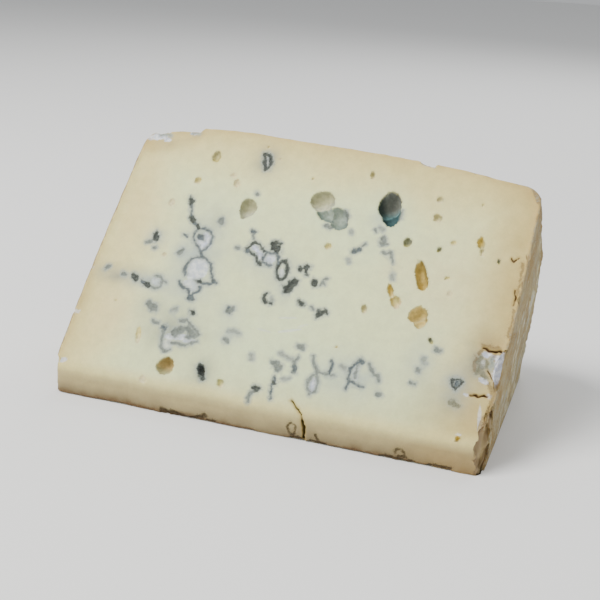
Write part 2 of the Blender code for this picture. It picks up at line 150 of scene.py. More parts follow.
# Mould in small pits and fissures, by colour: half width, then the points of the line it follows.
# Below 0 the line is on the nose facet. The umber and darkest brown lines at about -7.6 to -9.3, along its
# foot, are not mould: they are partly brown crust and partly painted contact shadow.
STROKES = {
    "ink": [
        (0.8, (-45.3, 69.6), (-44.8, 68.2)), (0.75, (-43.2, 62.6), (-42, 61)),
        (0.65, (-40, 59.7), (-39, 58.7)), (0.65, (-33.6, 39), (-32, 38.6)),
        (0.8, (-31.7, 27.6), (-31.2, 27.2)), (0.95, (-53.8, 54), (-53.4, 52)),
        (0.9, (-57, 37.2), (-55.8, 36.2)), (0.9, (-51.8, 34.9), (-50.6, 34.4)),
        (1.2, (-23, 8.8), (-22.2, 7.8)), (0.8, (-22.4, 8.2), (-21.3, 6.4), (-20.8, 5.3)),
        (0.95, (-2.2, 5.4), (-1.6, 5)),
        (0.42, (-18.7, 55.4), (-17, 56.4), (-15.2, 55.6), (-14, 54.6), (-13.2, 53.6)),
        (0.42, (-18.6, 55), (-19.6, 53.2), (-18, 52.6), (-16.2, 51.8), (-15, 50.6), (-14.2, 49.2),
         (-13.2, 48.4)),
        (0.7, (-13.9, 48.9), (-13, 48.7)), (1.55, (-10.2, 56.4), (-9, 55.6), (-8.7, 54.8)),
        (0.6, (-10.9, 57.4), (-8.2, 57.4)), (0.6, (-5.8, 50.8), (-4.4, 51), (-3.3, 49.6), (-2.9, 47.4)),
        (0.5, (-5.8, 50.8), (-6.7, 48.8), (-6.6, 46.6), (-5.6, 44.8), (-4.4, 44.2), (-3.3, 45.2),
         (-2.9, 47.4)),
        (1.3, (0.4, 44.2), (-0.6, 42.4), (-1.2, 40.8)), (0.8, (-2.4, 42), (-1.6, 41.4)),
        (0.42, (-7.6, 38.6), (-8.4, 37), (-7.6, 35.4), (-6.2, 35.2), (-5, 35.2)),
        (0.7, (-8.1, 36.4), (-7.2, 35.4)), (0.7, (0.9, 49.4), (1.6, 49)), (0.6, (2.6, 50.2), (4.2, 50.4)),
        (0.42, (3.6, 50.2), (3.4, 48.6), (4, 47.4)), (0.8, (7, 45.8), (7.8, 44.4)),
        (0.75, (4.4, 37.4), (5.4, 36.9)), (0.95, (11.6, 34.2), (12.8, 35)),
        (0.45, (11, 35.6), (12.4, 34.8), (13.4, 36), (14.4, 34.9)), (0.5, (11.4, 33.2), (12.4, 34)),
        (0.6, (3.1, 8.6), (3.5, 8)),
        (0.38, (59.6, 20), (61.6, 20.4), (62.6, 19.8), (62.2, 18.4), (61.2, 17), (60, 18.4), (59.6, 20)),
        (0.62, (-23.8, 89.9), (-22.8, 90), (-21.2, 89), (-20.4, 87.2), (-20.6, 85.4), (-21.8, 84.8),
         (-22.6, 86.4), (-23.2, 88.4), (-23.8, 89.9)),
    ],
    "slate": [
        (0.42, (-44.8, 68.2), (-44, 65.4), (-43.2, 62.8)), (0.4, (-41.8, 60.8), (-40.6, 60.2), (-39.6, 59)),
        (0.34, (-39, 58.6), (-36.6, 58.9), (-34.4, 58), (-33, 55.8), (-33, 53.2), (-34, 51.2), (-35.2, 50)),
        (0.36, (-39.4, 58.2), (-40.2, 56.2), (-39.6, 54), (-38.2, 52.6), (-36.6, 51), (-35.2, 49.6),
         (-34.8, 48.4)),
        (0.95, (-37.6, 55.6), (-36.8, 55.2)),
        (0.34, (-38.3, 40.3), (-39.2, 42.6), (-38.8, 45.4), (-37.2, 47.3), (-34.8, 48)),
        (0.36, (-34.8, 48), (-32.4, 47.6), (-30.4, 45.8), (-29.6, 43.4), (-28.6, 41), (-26.8, 39.6)),
        (0.7, (-27.8, 40), (-26.9, 39.3)), (0.36, (-27, 39), (-29.6, 38.6), (-31.4, 38.2)),
        (0.42, (-39.6, 37.4), (-38.2, 35.8), (-36.2, 35.6), (-35, 34.2), (-34, 32.4)),
        (0.65, (-34.4, 32.2), (-32.8, 31.8)),
        (0.36, (-33, 32.4), (-33.4, 34), (-31.8, 35.4), (-31.8, 36.8)), (0.4, (-43.6, 55.4), (-42.2, 54.8)),
        (0.55, (-53.2, 35.6), (-52.4, 35.2)), (0.85, (-40.2, 20.4), (-39.2, 20.2)),
        (0.7, (-19.2, 60.3), (-18.4, 60)), (0.65, (-19.4, 53), (-18.6, 52.9)),
        (0.36, (-13.2, 53.6), (-11, 53.4), (-8.8, 53.6), (-7.4, 51.8), (-6.8, 49.6)),
        (0.3, (-11.8, 53), (-12.6, 51.6), (-12.2, 49.6), (-10.6, 48.6), (-8.8, 48.8)),
        (0.4, (-19.6, 31.4), (-18.8, 30.4), (-18.4, 29.4)), (0.75, (8.6, 14.8), (9, 13.6)),
        (0.4, (20.2, 19), (20.9, 17.2), (20.2, 15.6), (20.8, 14.2)),
        (0.42, (29.8, 20.8), (28.2, 19.6), (26.8, 17.6), (26.8, 15.2), (27.4, 13), (27.2, 11)),
        (0.55, (29.4, 21.2), (30.2, 20.4)), (0.34, (27.4, 13.4), (29.4, 13.2), (31, 12.4), (32.4, 12.3)),
        (0.34, (3, 10.2), (3.6, 8.6), (2.8, 7.6), (3.2, 5.4), (3.8, 2.8)),
        (0.85, (60.9, 19.4), (61.1, 18.6)), (0.72, (17.6, 58.4), (19.2, 59.2)),
    ],
    "grey": [
        (0.6, (-56.4, 50.4), (-55, 50.8)), (0.75, (-43.2, 48), (-42.2, 49.2)),
        (0.5, (-53, 48.9), (-52.4, 48.5)), (0.55, (-61.2, 37.4), (-60.2, 36.8)),
        (0.6, (-68.2, 38.4), (-67.2, 39.2)),
        (0.3, (-49, 38.2), (-46.8, 38.4), (-45.6, 36.8), (-44.4, 36.6)),
        (0.3, (-49.8, 34.4), (-47.6, 33.6), (-46.2, 34.8), (-45.8, 36.6)),
        (1.25, (-47.6, 27.6), (-45.4, 26.6)), (1.3, (-35.2, 19.2), (-33.4, 20.8)),
        (0.9, (-31.6, 21.4), (-29.4, 20.2)), (0.7, (-30.2, 18.6), (-28.2, 19.2)),
        (0.4, (-34.8, 23.6), (-32.4, 24.2), (-30.4, 22.6), (-28.2, 21.4), (-27, 19.8)),
        (0.4, (-39.6, 19.4), (-39.2, 16.4), (-38.8, 13.6), (-37.2, 12), (-35.4, 12.8)),
        (0.34, (-35.4, 15.4), (-32.6, 15.6), (-31.4, 15.2), (-29, 16.2), (-26.6, 17.6)),
        (0.4, (-44.6, 22), (-42, 21.4)), (0.5, (-2.4, 4.6), (-3.6, 2.6), (-3.6, 0.6)),
        (0.28, (-19.8, 60.6), (-18.6, 59.6), (-18.2, 57.4)), (0.5, (-23.2, 53.3), (-22.4, 53.2)),
        (0.34, (9.6, 44.8), (10.2, 46.6), (11.4, 47.4)), (0.3, (10.4, 46), (11, 44.8)),
        (0.4, (8.4, 36.4), (9.6, 35.8)), (0.95, (-19.2, 30), (-18.2, 31)),
        (0.75, (-17.4, 20), (-16.6, 19.4)), (0.75, (8, 22.2), (9.6, 22)), (1.1, (1.6, 14.8), (2.8, 14.2)),
        (0.8, (3.2, 13), (4.2, 14)), (0.4, (9, 18.4), (8.2, 16.6), (8.8, 14.6), (9, 13)),
        (0.32, (13.8, 19.6), (14.8, 17), (16.2, 15.4), (16.6, 13.4)),
        (0.34, (16.4, 14.4), (18.6, 14.6), (20.4, 14.2), (22.2, 14.3)),
        (0.32, (15.4, 13.2), (14.4, 11.2), (14.8, 8.6), (16.2, 6.8), (17.4, 8), (17.8, 10.4), (17, 12.8)),
        (0.32, (29.4, 20), (28.9, 17.6), (29.2, 15.2)),
        (0.42, (32.6, 20.2), (33.8, 18.8), (34.8, 17.2), (36.2, 16.8), (36.8, 15.2)),
        (0.6, (37.4, 11.2), (38.4, 10.8)), (0.7, (52.6, 29), (53.4, 28.7)),
        (0.55, (47.9, 21.4), (48.5, 20.9)), (0.45, (46.8, 16.6), (48.2, 16.4)),
        (0.38, (20.2, 61), (20.8, 61.6)), (0.8, (26.4, 64.8), (27, 63.4)),
        (0.4, (25.6, 63.4), (26.8, 62.2), (28, 62.8)), (0.34, (27.4, 59.6), (29, 59.4), (30.2, 60)),
        (0.28, (30.4, 59.8), (31, 57.6), (31.8, 56.2)), (0.4, (23, 67.4), (23.4, 66.8)),
        (0.85, (-32, 63), (-31.4, 61.8)), (0.6, (5.8, 66.4), (7.4, 66)), (0.6, (11.4, 72.4), (12.2, 70.8)),
        (0.5, (-22.2, 75.2), (-21.6, 74.8)),
    ],
    "smoke": [
        (0.8, (-38.6, 26.8), (-37.8, 27.4)), (0.4, (-5.8, 37.2), (-5, 36)),
        (0.5, (-16.8, 23), (-15.4, 23.4), (-13.2, 22.8)), (0.6, (-6.9, 16.4), (-6, 15)),
        (0.5, (2.6, 18.6), (5, 17.6), (7, 17.2)), (0.4, (6, 10), (8, 10.8)),
        (0.42, (23.6, 18), (25.4, 17.6)), (0.75, (49.2, 25.2), (49.8, 23.8)),
        (0.5, (16.6, 55.2), (17.2, 54.4)), (0.5, (14.6, 65.6), (15.2, 65.2)),
        (0.4, (30.4, 76), (30.4, 73.2)), (0.55, (32.6, 52), (33, 50.9)),
        (0.5, (70.4, 29.2), (70.6, 27.2), (70, 25.6)), (0.5, (24.4, 68.6), (25.6, 67.6)),
        (0.2, (-65.4, 93.8), (-63.2, 94.2), (-61.2, 93.6)), (0.26, (-52.8, 96), (-50.8, 96)),
    ],
    "moss": [
        (0.95, (61.2, 12.6), (62.8, 12)), (0.8, (66.8, 28.8), (66.2, 27)), (1, (67.4, 25.6), (66.6, 23.8)),
        (0.6, (68.8, 27.6), (69.4, 25.8)), (0.7, (68.6, 23.6), (69.6, 22.8)),
    ],
    "umber": [
        (0.55, (65.3, 28.6), (65.2, 26.4), (65.8, 24.4)), (0.5, (66.4, 33), (69, 32.8), (71.6, 33)),
        (0.4, (66.4, 31.6), (65.9, 29.8)), (0.36, (70.8, 31), (70.9, 28.4)),
        (0.9, (73.6, 22), (73, 17), (73.4, 12.6)), (1, (73.4, 9), (73.6, 4), (73, 0.4)),
        (0.6, (71, 20.6), (72.2, 18.6)), (0.38, (73.5, 63), (73.8, 56), (73.6, 50)),
        # From (52.6, -9) on, these lines run along the foot of the nose facet: partly brown crust, partly
        # painted contact shadow.
        (0.34, (73.7, 46.4), (73.9, 41), (73.7, 37)), (0.35, (52.6, -9), (57, -9.1)),
        (0.2, (-66, -9.3), (-57, -9.2), (-50, -9.1)), (0.45, (-50, -9.1), (-44, -8.8), (-36.4, -8.8)),
        (0.4, (-14, -9.1), (-8, -9), (-1, -9.2)), (0.4, (26, -9.2), (33, -9), (39, -9.2)),
    ],
    "soot_and_shadow": [
        (0.35, (65.2, 27.8), (65.2, 26.6)),
        # Those lying at about -7.6 to -9.1, along the foot of the nose facet, are partly dark marks and
        # partly painted contact shadow.
        (0.36, (11.6, -4), (10.7, -5.2), (10.9, -7), (12, -8.2), (13.2, -7.2)),
        (0.26, (12.6, -4.4), (13.5, -5), (13.3, -6.6)), (0.7, (12.2, -8.8), (15.6, -8.8)),
        (0.2, (46.2, -7), (46.9, -5.6), (48.3, -5.2), (49.3, -6.6)), (0.45, (47.4, -8), (49.6, -7.9)),
        (0.4, (20.2, -6.4), (20.9, -7.8)), (0.45, (17.6, -9), (20.4, -8.7), (23.6, -9.1)),
        (0.5, (41.6, -9), (46.8, -8.7), (52.6, -9)), (0.55, (57, -9.1), (61, -8.6), (63.8, -8.8)),
        (0.95, (-33.6, -8.6), (-30, -8.5), (-26.6, -8.8)), (0.6, (-27, -8.8), (-22.8, -8.9), (-20, -8.5)),
        (0.85, (-19.8, -8.2), (-18.4, -7.6)), (0.5, (-17, -8.8), (-14.6, -8.7)),
    ],
}

# How strongly each colour of mould covers the paste, and how much pale halo it has.
MOULD = {
    "ink": (0.94, 1.0), "slate": (0.88, 1.0), "grey": (0.78, 1.0), "smoke": (0.62, 1.0),
    "moss": (0.66, 0.35), "soot_and_shadow": (0.80, 0.0), "umber": (0.55, 0.0),
}

# Fissures in the edges: half width, depth, colour, and the line they follow.
CRACKS = [
    (0.22, 0.9, "fissure", [(10.6, 3.8), (12.4, 2), (14, 1), (14.9, -0.6), (15.6, -3.4)]),
    (0.46, 1.4, "fissure", [(15.4, -2.6), (16, -5), (16.4, -8.8)]),
    (0.36, 1, "bark", [(67, 32.3), (68.8, 31.6), (70.6, 31.5), (72.4, 31.9), (74, 31.4)]),
    (0.20, 0.6, "bark", [(69.6, 24.9), (70.6, 23.6), (71.8, 22.2), (73.4, 20.9)]),
    (0.26, 0.9, "bark", [(65.8, 16.2), (67.6, 16.4), (68.6, 16), (70, 16.7), (71.2, 16.5)]),
    (0.26, 0.5, "bark", [(71.8, 64.6), (70.2, 63), (69.4, 64.4)]),
    (0.24, 0.4, "bark", [(72.6, 53.2), (73.4, 50.6), (73.2, 47.8)]),
    (0.20, 0.4, "bark", [(72.2, 13.4), (72.8, 10.6), (72.4, 7.4)]),
]

# Pale mould that fills the cells between the veins: across, up, half width, half height, tilt,
# how strongly it shows.
CELLS = [
    (-35.6, 54, 2.7, 3.8, 10, 0.95),
    (-34.2, 43.4, 4.4, 4.2, 0, 0.72),
    (-34.4, 37.4, 3.4, 3, 0, 0.55),
    (-16.4, 54.2, 2.2, 1, -40, 1.00),
    (-13.8, 51.8, 2.2, 1.2, -42, 0.95),
    (-10.2, 51, 2.2, 2.2, 0, 0.80),
    (-22, 87.4, 0.9, 1.9, 18, 0.95),
    (16.2, 10, 1.4, 2.8, 0, 1.00),
    (28.9, 16.8, 1.3, 3.2, 0, 0.45),
    (-34, 18, 5.4, 1.2, 6, 0.80),
    (-29.4, 17.2, 2.6, 0.7, 14, 0.85),
    (-36.6, 14.6, 2.2, 1.8, 0, 0.40),
    (-4.7, 46.4, 1, 1.6, 8, 0.60),
    (5, 70.6, 2.6, 1.5, -36, 0.60),
    (3.4, 26.8, 4.4, 0.45, 16, 0.40),
    (1.6, 31.2, 3.4, 0.35, 10, 0.32),
    (7.6, 29.4, 2.2, 0.35, 24, 0.28),
    (-5, 25.4, 3, 0.35, -4, 0.25),
    (68.2, 30.2, 1.7, 1.1, 10, 0.95),
    (72.6, 26.6, 1.6, 3.9, 8, 0.95),
    (71, 29.6, 1.2, 0.9, 0, 0.70),
    (69.2, 21.4, 1.6, 1, -20, 0.80),
    (71.4, 23.8, 1.1, 0.8, -40, 0.60),
    (67.6, 27, 1, 1.6, 0, 0.40),
    (64.8, 16, 0.9, 0.6, 0, 0.90),
    (71.7, 16.8, 0.9, 0.8, 0, 0.85),
    (70.2, 9.6, 0.5, 4.6, 8, 0.55),
    (-47.8, 36.2, 1.8, 1.6, 0, 0.40),
    (65.2, 3, 1.1, 0.5, 0, 0.60),
    (-66, 92.9, 3.4, 1.4, 10, 1.00),
    (-62.4, 92.2, 2, 1.1, -20, 0.95),
    (-68.6, 91.8, 1.4, 0.9, 0, 0.60),
    (-51.8, 96.3, 2, 1, 20, 1.00),
    (-50, 96.9, 1, 0.6, 0, 0.60),
    (35.2, 94.6, 3.4, 0.9, -8, 0.60),
    (-73.8, 37.6, 1.2, 0.8, 0, 0.45),
    (-73.4, 20.4, 1.4, 0.8, 24, 0.60),
    (-72, 2.4, 1.7, 0.9, 20, 0.80),
]

# Soft tints in the paste: across, up, half width, half height, colour, strength.
HAZES = [
    (-36, 52, 9, 14, "haze_blue", 0.63),
    (-35, 36, 9, 8, "haze_blue", 0.46),
    (-36, 20, 12, 7.5, "haze_grey", 0.72),
    (-64, 36.5, 14, 3.6, "haze_grey", 0.65),
    (-50, 36, 8, 3.4, "haze_blue", 0.63),
    (-53.6, 53, 4, 4.2, "haze_blue", 0.57),
    (-22, 87.4, 4.6, 5.4, "haze_grey", 0.75),
    (-12, 51, 9, 6, "haze_blue", 0.52),
    (-2, 42, 7, 8, "haze_blue", 0.40),
    (6, 70, 9, 8, "haze_green", 0.60),
    (26, 74, 8, 10, "haze_green", 0.65),
    (22, 60, 12, 8, "haze_green", 0.45),
    (-4, 24, 26, 12, "haze_green", 0.50),
    (8, 14, 22, 9, "haze_green", 0.55),
    (28, 15, 12, 8, "haze_blue", 0.52),
    (9, 38, 9, 6, "haze_green", 0.40),
    (49, 24, 6, 8, "haze_blue", 0.40),
    (61, 18.4, 5, 6, "haze_blue", 0.80),
    (67, 27, 6, 9, "haze_grey", 0.70),
    (-22, 7, 4.4, 5.4, "haze_grey", 0.75),
    (-24, 69, 5, 7, "haze_green", 0.45),
    (-18.5, 30, 4, 3.6, "haze_blue", 0.46),
    (-16, 21, 5, 4, "haze_blue", 0.34),
    (-42.8, 48.5, 3, 3, "haze_blue", 0.57),
    (52, 52, 16, 18, "haze_rose", 0.30),
    (-60, 22, 10, 12, "haze_rose", 0.40),
    (-62, 62, 9, 16, "haze_rose", 0.25),
    (33, 56, 8, 6, "haze_rose", 0.20),
    (-47, 27, 5, 3.6, "haze_grey", 0.45),
    (-32, 62.5, 3, 3, "haze_grey", 0.40),
    (75, 52, 12, 56, "haze_tan", 0.58),
    (66, 4, 17, 13, "haze_tan", 0.44),
    (62, 12.6, 4, 4, "haze_grey", 0.45),
    (-71, 60, 4, 30, "heart", 0.30),
    (66.5, 10, 4, 4.4, "nose", 0.60),
    (69, 34, 4, 3.2, "nose", 0.65),
    (67.2, 26, 3.4, 5, "haze_grey", 0.55),
    (24, 71.6, 3.4, 3.4, "haze_blue", 0.45),
    (55, 12, 8, 8, "haze_grey", 0.28),
    (66, 34, 12, 24, "haze_grey", 0.10),
    (-66, 88.5, 5, 3.4, "haze_tan", 0.35),
    (-10, 3, 44, 6, "haze_grey", 0.10),
    (30, 2, 46, 7, "haze_tan", 0.16),
    (-74, 22, 3.4, 26, "haze_tan", 0.40),
    (70, 33, 6, 4, "haze_tan", 0.50),
    (71, 91, 9, 7, "haze_tan", 0.40),
    (-69, 91, 3, 3, "haze_tan", 0.50),
    (-60, 91.5, 9, 3.4, "haze_tan", 0.30),
    (-62, 90.6, 5, 2.6, "nose", 0.45),
    (-52, 94.6, 4, 2, "nose", 0.40),
]

# Crust broken from the edges: across, up, half width, half height, depth, tilt.
CHIPS = [
    (74.3, 25, 2.6, 7, 2.6, 0),
    (76.6, -3, 6.2, 17, 13, 4),
    (-66, 97.4, 6, 3.2, 3, 6),
    (-51.4, 99.6, 3, 2.4, 2.4, 0),
    (35.2, 97, 4.8, 3.2, 3.4, -4),
    (-75.4, 37.4, 1.9, 2, 1.6, 0),
    (-76, 20, 2.6, 2, 1.8, 20),
    (-75, 2, 2.6, 1.6, 1.6, 20),
    (-76, -8.6, 5.6, 5, 10.5, 0),
    (8, 98.9, 2, 1.2, 1.3, 0),
    (20, 98.3, 2.8, 1.2, 1.3, 0),
    (-24, 101.2, 2.2, 1.4, 1.6, 0),
    (74.8, 65.6, 1.2, 1.4, 1, 0),
    (75, 50, 1, 1.6, 0.9, 0),
]

# What lines an eye: its colour above, its colour below, the colour of its darker edge, the
# direction of that edge in degrees from straight right, and how dark it is. The darker edge is painted shade
# on one wall of the hollow, and above and below differ partly in the lining's own colour and partly as
# painted light and shade on the upper and lower walls.
LININGS = {
    "deep": ("pitch", "teal", "dark", 195, 0.92),
    "teal": ("teal_low", "teal_low", "dark", 180, 0.50),
    "bronze": ("bronze", "dim_low", "shade", 125, 0.55),
    "dim": ("dim", "cream", "olive", 20, 0.60),
    "yellow": ("ochre", "dim", "dim", 10, 0.80),
    "pit": ("pit", "pit", "ink", 0, 0.50),
    "rosy": ("tan", "rosy", "ochre", 150, 0.60),
    "olive": ("olive", "olive_pale", "slate", -30, 0.35),
    "pale": ("misty", "grey_teal", "slate", -20, 0.45),
    "ochre": ("ochre", "ochre_pale", "shade", 10, 0.75),
    "honey": ("honey", "honey", "shade", 10, 0.80),
    "yellow_dim": ("dim", "yellow_dim", "shade", 20, 0.50),
    "amber": ("amber", "ochre_pale", "shade", -35, 0.90),
    "tan": ("tan", "cream", "ochre", 30, 0.55),
    "cream": ("cream", "cream", "tan", 0, 0.40),
    "green": ("green", "green_pale", "pitch", 20, 0.60),
    "green_pale": ("green_pale", "cream", "green", 20, 0.50),
}

# ------------------------------------------------------------------------------- colours
# Given as they look on a screen, from 0 to 255.
LOOK = {
    "heart": (226, 227, 166),        # the paste, well inside
    "margin": (220, 207, 142),       # the paste, nearer the rind
    "under_rind": (190, 164, 102),   # the paste just below the rind
    "nose": (172, 156, 114),         # the worn nose facet
    # the darker foot of the nose facet, partly painted contact shadow
    "nose_low": (138, 124, 92),
    "haze_blue": (150, 166, 168),
    "haze_green": (210, 224, 178),
    "haze_grey": (132, 138, 126),
    "haze_rose": (224, 200, 146),
    "haze_tan": (180, 155, 92),
    "ochre": (202, 177, 90),
    "ochre_pale": (214, 202, 146),
    "honey": (192, 168, 94),
    "yellow_dim": (178, 166, 96),
    "amber": (216, 194, 124),
    # painted shade on one wall of an eye
    "shade": (112, 96, 44),
    "tan": (206, 196, 132),
    "cream": (214, 204, 158),
    "olive": (172, 170, 132),
    "olive_pale": (186, 186, 158),
    "green": (130, 132, 104),
    "green_pale": (180, 174, 110),
    "misty": (152, 163, 146),
    "grey_teal": (118, 132, 120),
    "pitch": (120, 122, 112),
    # painted shade on one wall of the deeper eyes
    "dark": (48, 58, 52),
    "teal": (90, 126, 126),
    "teal_low": (54, 82, 84),
    "bronze": (190, 166, 112),
    "dim": (180, 172, 122),
    "dim_low": (170, 168, 124),
    "rosy": (214, 196, 154),
    "ink": (58, 61, 58),
    "pit": (70, 72, 54),
    "slate": (78, 87, 92),
    "halo": (157, 166, 156),
    "grey": (109, 115, 108),
    "smoke": (144, 149, 135),
    "moss": (104, 102, 78),
    # The two dark browns below are marks and crust; along the foot of the nose facet they are also painted
    # contact shadow.
    "soot_and_shadow": (54, 42, 26),
    "umber": (106, 83, 56),
    "torn": (154, 132, 100),
    "bark": (74, 50, 26),
    "fissure": (86, 74, 34),
    "bloom": (234, 237, 240),
    "bloom_shade": (194, 200, 218),
    "rind_pale": (212, 206, 178),
    "rind_grey": (166, 165, 146),
    "rind_lilac": (164, 167, 188),
    "rind_cream": (225, 212, 132),
    "rind_olive": (96, 96, 75),
    "rind_ochre": (130, 100, 52),
    "rind_brown": (96, 72, 44),
    "rind_tan": (170, 153, 112),
    "rind_sand": (194, 178, 130),
    "crust": (156, 130, 84),
    "rind_dark": (66, 61, 40),
}


def linear(name):
    """A named colour in linear light, with full alpha."""
    parts = [part / 255.0 for part in LOOK[name]]
    return tuple(p / 12.92 if p <= 0.04045 else ((p + 0.055) / 1.055) ** 2.4 for p in parts) + (1.0,)


def smooth(low, high, value):
    """0 below low, 1 above high, and an even curve between."""
    part = np.clip((value - low) / (high - low), 0.0, 1.0)
    return part * part * (3.0 - 2.0 * part)


def noise(points, size, seed):
    """Even gradient noise, about -1 to 1, that changes over about this size."""
    rng = np.random.default_rng(seed)
    order = rng.permutation(256)
    slopes = rng.normal(size=(256, 3))
    slopes /= np.linalg.norm(slopes, axis=1, keepdims=True)
    place = np.asarray(points, float) / size + rng.uniform(0.0, 64.0, 3)
    cell = np.floor(place).astype(int)
    part = place - cell
    fade = part ** 3 * (part * (part * 6.0 - 15.0) + 10.0)
    total = np.zeros(len(place))
    for corner in np.ndindex(2, 2, 2):
        key = cell + corner
        chosen = order[(order[(order[key[:, 0] & 255] + key[:, 1]) & 255] + key[:, 2]) & 255]
        weight = np.prod(np.where(np.array(corner) == 1, fade, 1.0 - fade), axis=1)
        total += weight * np.einsum("ij,ij->i", slopes[chosen], part - corner)
    return np.clip(total * 1.7, -1.0, 1.0)


# ------------------------------------------------------------------------------- the form
def corner_drop(distance, radius):
    """How far a rounding of this radius falls below its tangent, at a distance from the edge."""
    short = np.clip(radius - distance, 0.0, radius)
    return radius - np.sqrt(radius * radius - short * short)


def rim_radius(x):
    """The wheel's radius at a place along its axis, with its bulge and its rounded shoulders."""
    along = np.clip((x - LEFT_END) / WHEEL_HEIGHT, 0.0, 1.0)
    bulge = 1.0 - np.abs(2.0 * along ** BARREL_SKEW - 1.0) ** BARREL_FULLNESS
    radius = WHEEL_RADIUS + RIM_BARREL * bulge + RIM_TAPER * (1.0 - 2.0 * along)
    return radius - corner_drop(x - LEFT_END, SHOULDER_LEFT) - corner_drop(RIGHT_END - x, SHOULDER_RIGHT)


def nose_recess(x):
    """How far behind Y = 0 the nose facet lies, at a place along its length."""
    return corner_drop(x - LEFT_END, NOSE_ROUND_LEFT) + corner_drop(RIGHT_END - x, NOSE_ROUND_RIGHT)


def rounded(points, corner, before, after, come, leave, radius):
    """Round a corner: come and leave are distances to it, before and after the headings."""
    near_in = (come < radius) & (come >= 0.0)
    near_out = (leave < radius) & (leave >= 0.0)
    turn = np.where(near_in, 0.5 * (1.0 - come / radius), 0.5 * (1.0 + leave / radius))[:, None]
    soft = corner + radius * (turn ** 2 * np.array(after) - (1.0 - turn) ** 2 * np.array(before))
    return np.where((near_in | near_out)[:, None], soft, points)


def outline(x, row):
    """Points (y, z) around the wedge at x; row runs from the nose's foot over the top and back."""
    radius = rim_radius(x)
    recess = nose_recess(x)
    tangent = math.tan(WEDGE_ANGLE)
    heading = np.array((math.cos(WEDGE_ANGLE), math.sin(WEDGE_ANGLE)))
    foot = np.stack((recess, np.zeros_like(x)), axis=1)
    top = np.stack((recess, (recess + NOSE_SETBACK) * tangent), axis=1)
    axis = np.array((-NOSE_SETBACK, 0.0))
    crest = axis + radius[:, None] * heading
    heel = axis + radius[:, None] * np.array((1.0, 0.0))
    ends = np.cumsum((FACET_ROWS, CUT_ROWS, RIM_ROWS, BASE_ROWS))
    starts = ends - (FACET_ROWS, CUT_ROWS, RIM_ROWS, BASE_ROWS)
    part = [np.clip((row - low) / (high - low), 0.0, 1.0)[:, None] for low, high in zip(starts, ends)]
    turn = WEDGE_ANGLE * (1.0 - part[2][:, 0])
    arc = axis + radius[:, None] * np.stack((np.cos(turn), np.sin(turn)), axis=1)
    zone = np.searchsorted(ends, row, side="right")
    points = np.select([(zone == 0)[:, None], (zone == 1)[:, None], (zone == 2)[:, None]],
                       [foot + (top - foot) * part[0], top + (crest - top) * part[1], arc],
                       heel + (foot - heel) * part[3])

    down = np.array((heading[1], -heading[0]))
    corners = [(top, (0.0, 1.0), heading, NOSE_ROUND), (crest, heading, down, EDGE_ROUND),
               (heel, (0.0, -1.0), (-1.0, 0.0), EDGE_ROUND), (foot, (-1.0, 0.0), (0.0, 1.0), EDGE_ROUND)]
    for number, (corner, before, after, radius) in enumerate(corners):
        away = np.linalg.norm(points - corner, axis=1)
        come = np.where(zone == number, away, -1.0)
        leave = np.where(zone == (number + 1) % 4, away, -1.0)
        points = rounded(points, corner, before, after, come, leave, radius)
    return points, zone


def lean(height):
    """How far the right flat face stands out at the rim, at a height above its foot."""
    return (LEAN_IN + LEAN_OUT) * smooth(0.0, LEAN_HEIGHT, height) - LEAN_IN


def swollen(points):
    """Move points of the plain form out with the swelling and lean of the nearer flat face."""
    from_axis = np.hypot(points[:, 1] + NOSE_SETBACK, points[:, 2]) / WHEEL_RADIUS
    out = np.clip(1.0 - from_axis ** 2, 0.0, None)
    along = 2.0 * (points[:, 0] - LEFT_END) / WHEEL_HEIGHT - 1.0
    leaning = lean(points[:, 2]) * from_axis
    most = np.where(along > 0.0, SWELL_RIGHT * out + leaning, -SWELL_LEFT * out)
    moved = points.copy()
    moved[:, 0] += most * np.abs(along) ** SWELL_REACH
    return moved


def place_surface(column, row):
    """Where the lattice's points lie on the plain form, and which zone each belongs to."""
    x = LEFT_END + WHEEL_HEIGHT * np.clip((column - END_COLUMNS) / LENGTH_COLUMNS, 0.0, 1.0)
    across, zone = outline(x, row)
    beyond = np.maximum(END_COLUMNS - column, column - END_COLUMNS - LENGTH_COLUMNS)
    shrink = 1.0 - (1.0 - END_HUB) * np.clip(beyond / END_COLUMNS, 0.0, 1.0)
    middle = np.array(END_MIDDLE)
    across = middle + (across - middle) * shrink[:, None]
    points = np.column_stack((x, across))
    zone = np.where(beyond > 0.0, np.where(x < 0.0, 4, 5), zone)
    return swollen(points), zone


FACET, CUT, RIM, BASE, LEFT, RIGHT = range(6)
CUT_FACES = (FACET, CUT, BASE)


# --------------------------------------------------------------------- places on the cut face
def face_place(points, zone):
    """(across, up) of each point, as if all lay on the upper cut face and the nose facet.

    The lower cut face shows the same eyes and mould, turned half round.
    """
    low = points[:, 2] - NOSE_HEIGHT
    up = points[:, 1] * UP[1] + low * UP[2]
    up = np.where(zone == FACET, np.minimum(low, up), up)
    across = np.where(zone == BASE, -points[:, 0], points[:, 0])
    return np.column_stack((across, np.where(zone == BASE, UNDER_TURN - points[:, 1], up)))


def below_cut(points):
    """How far each point lies below the plane of the upper cut face."""
    return -(points[:, 1] * OUT[1] + (points[:, 2] - NOSE_HEIGHT) * OUT[2])


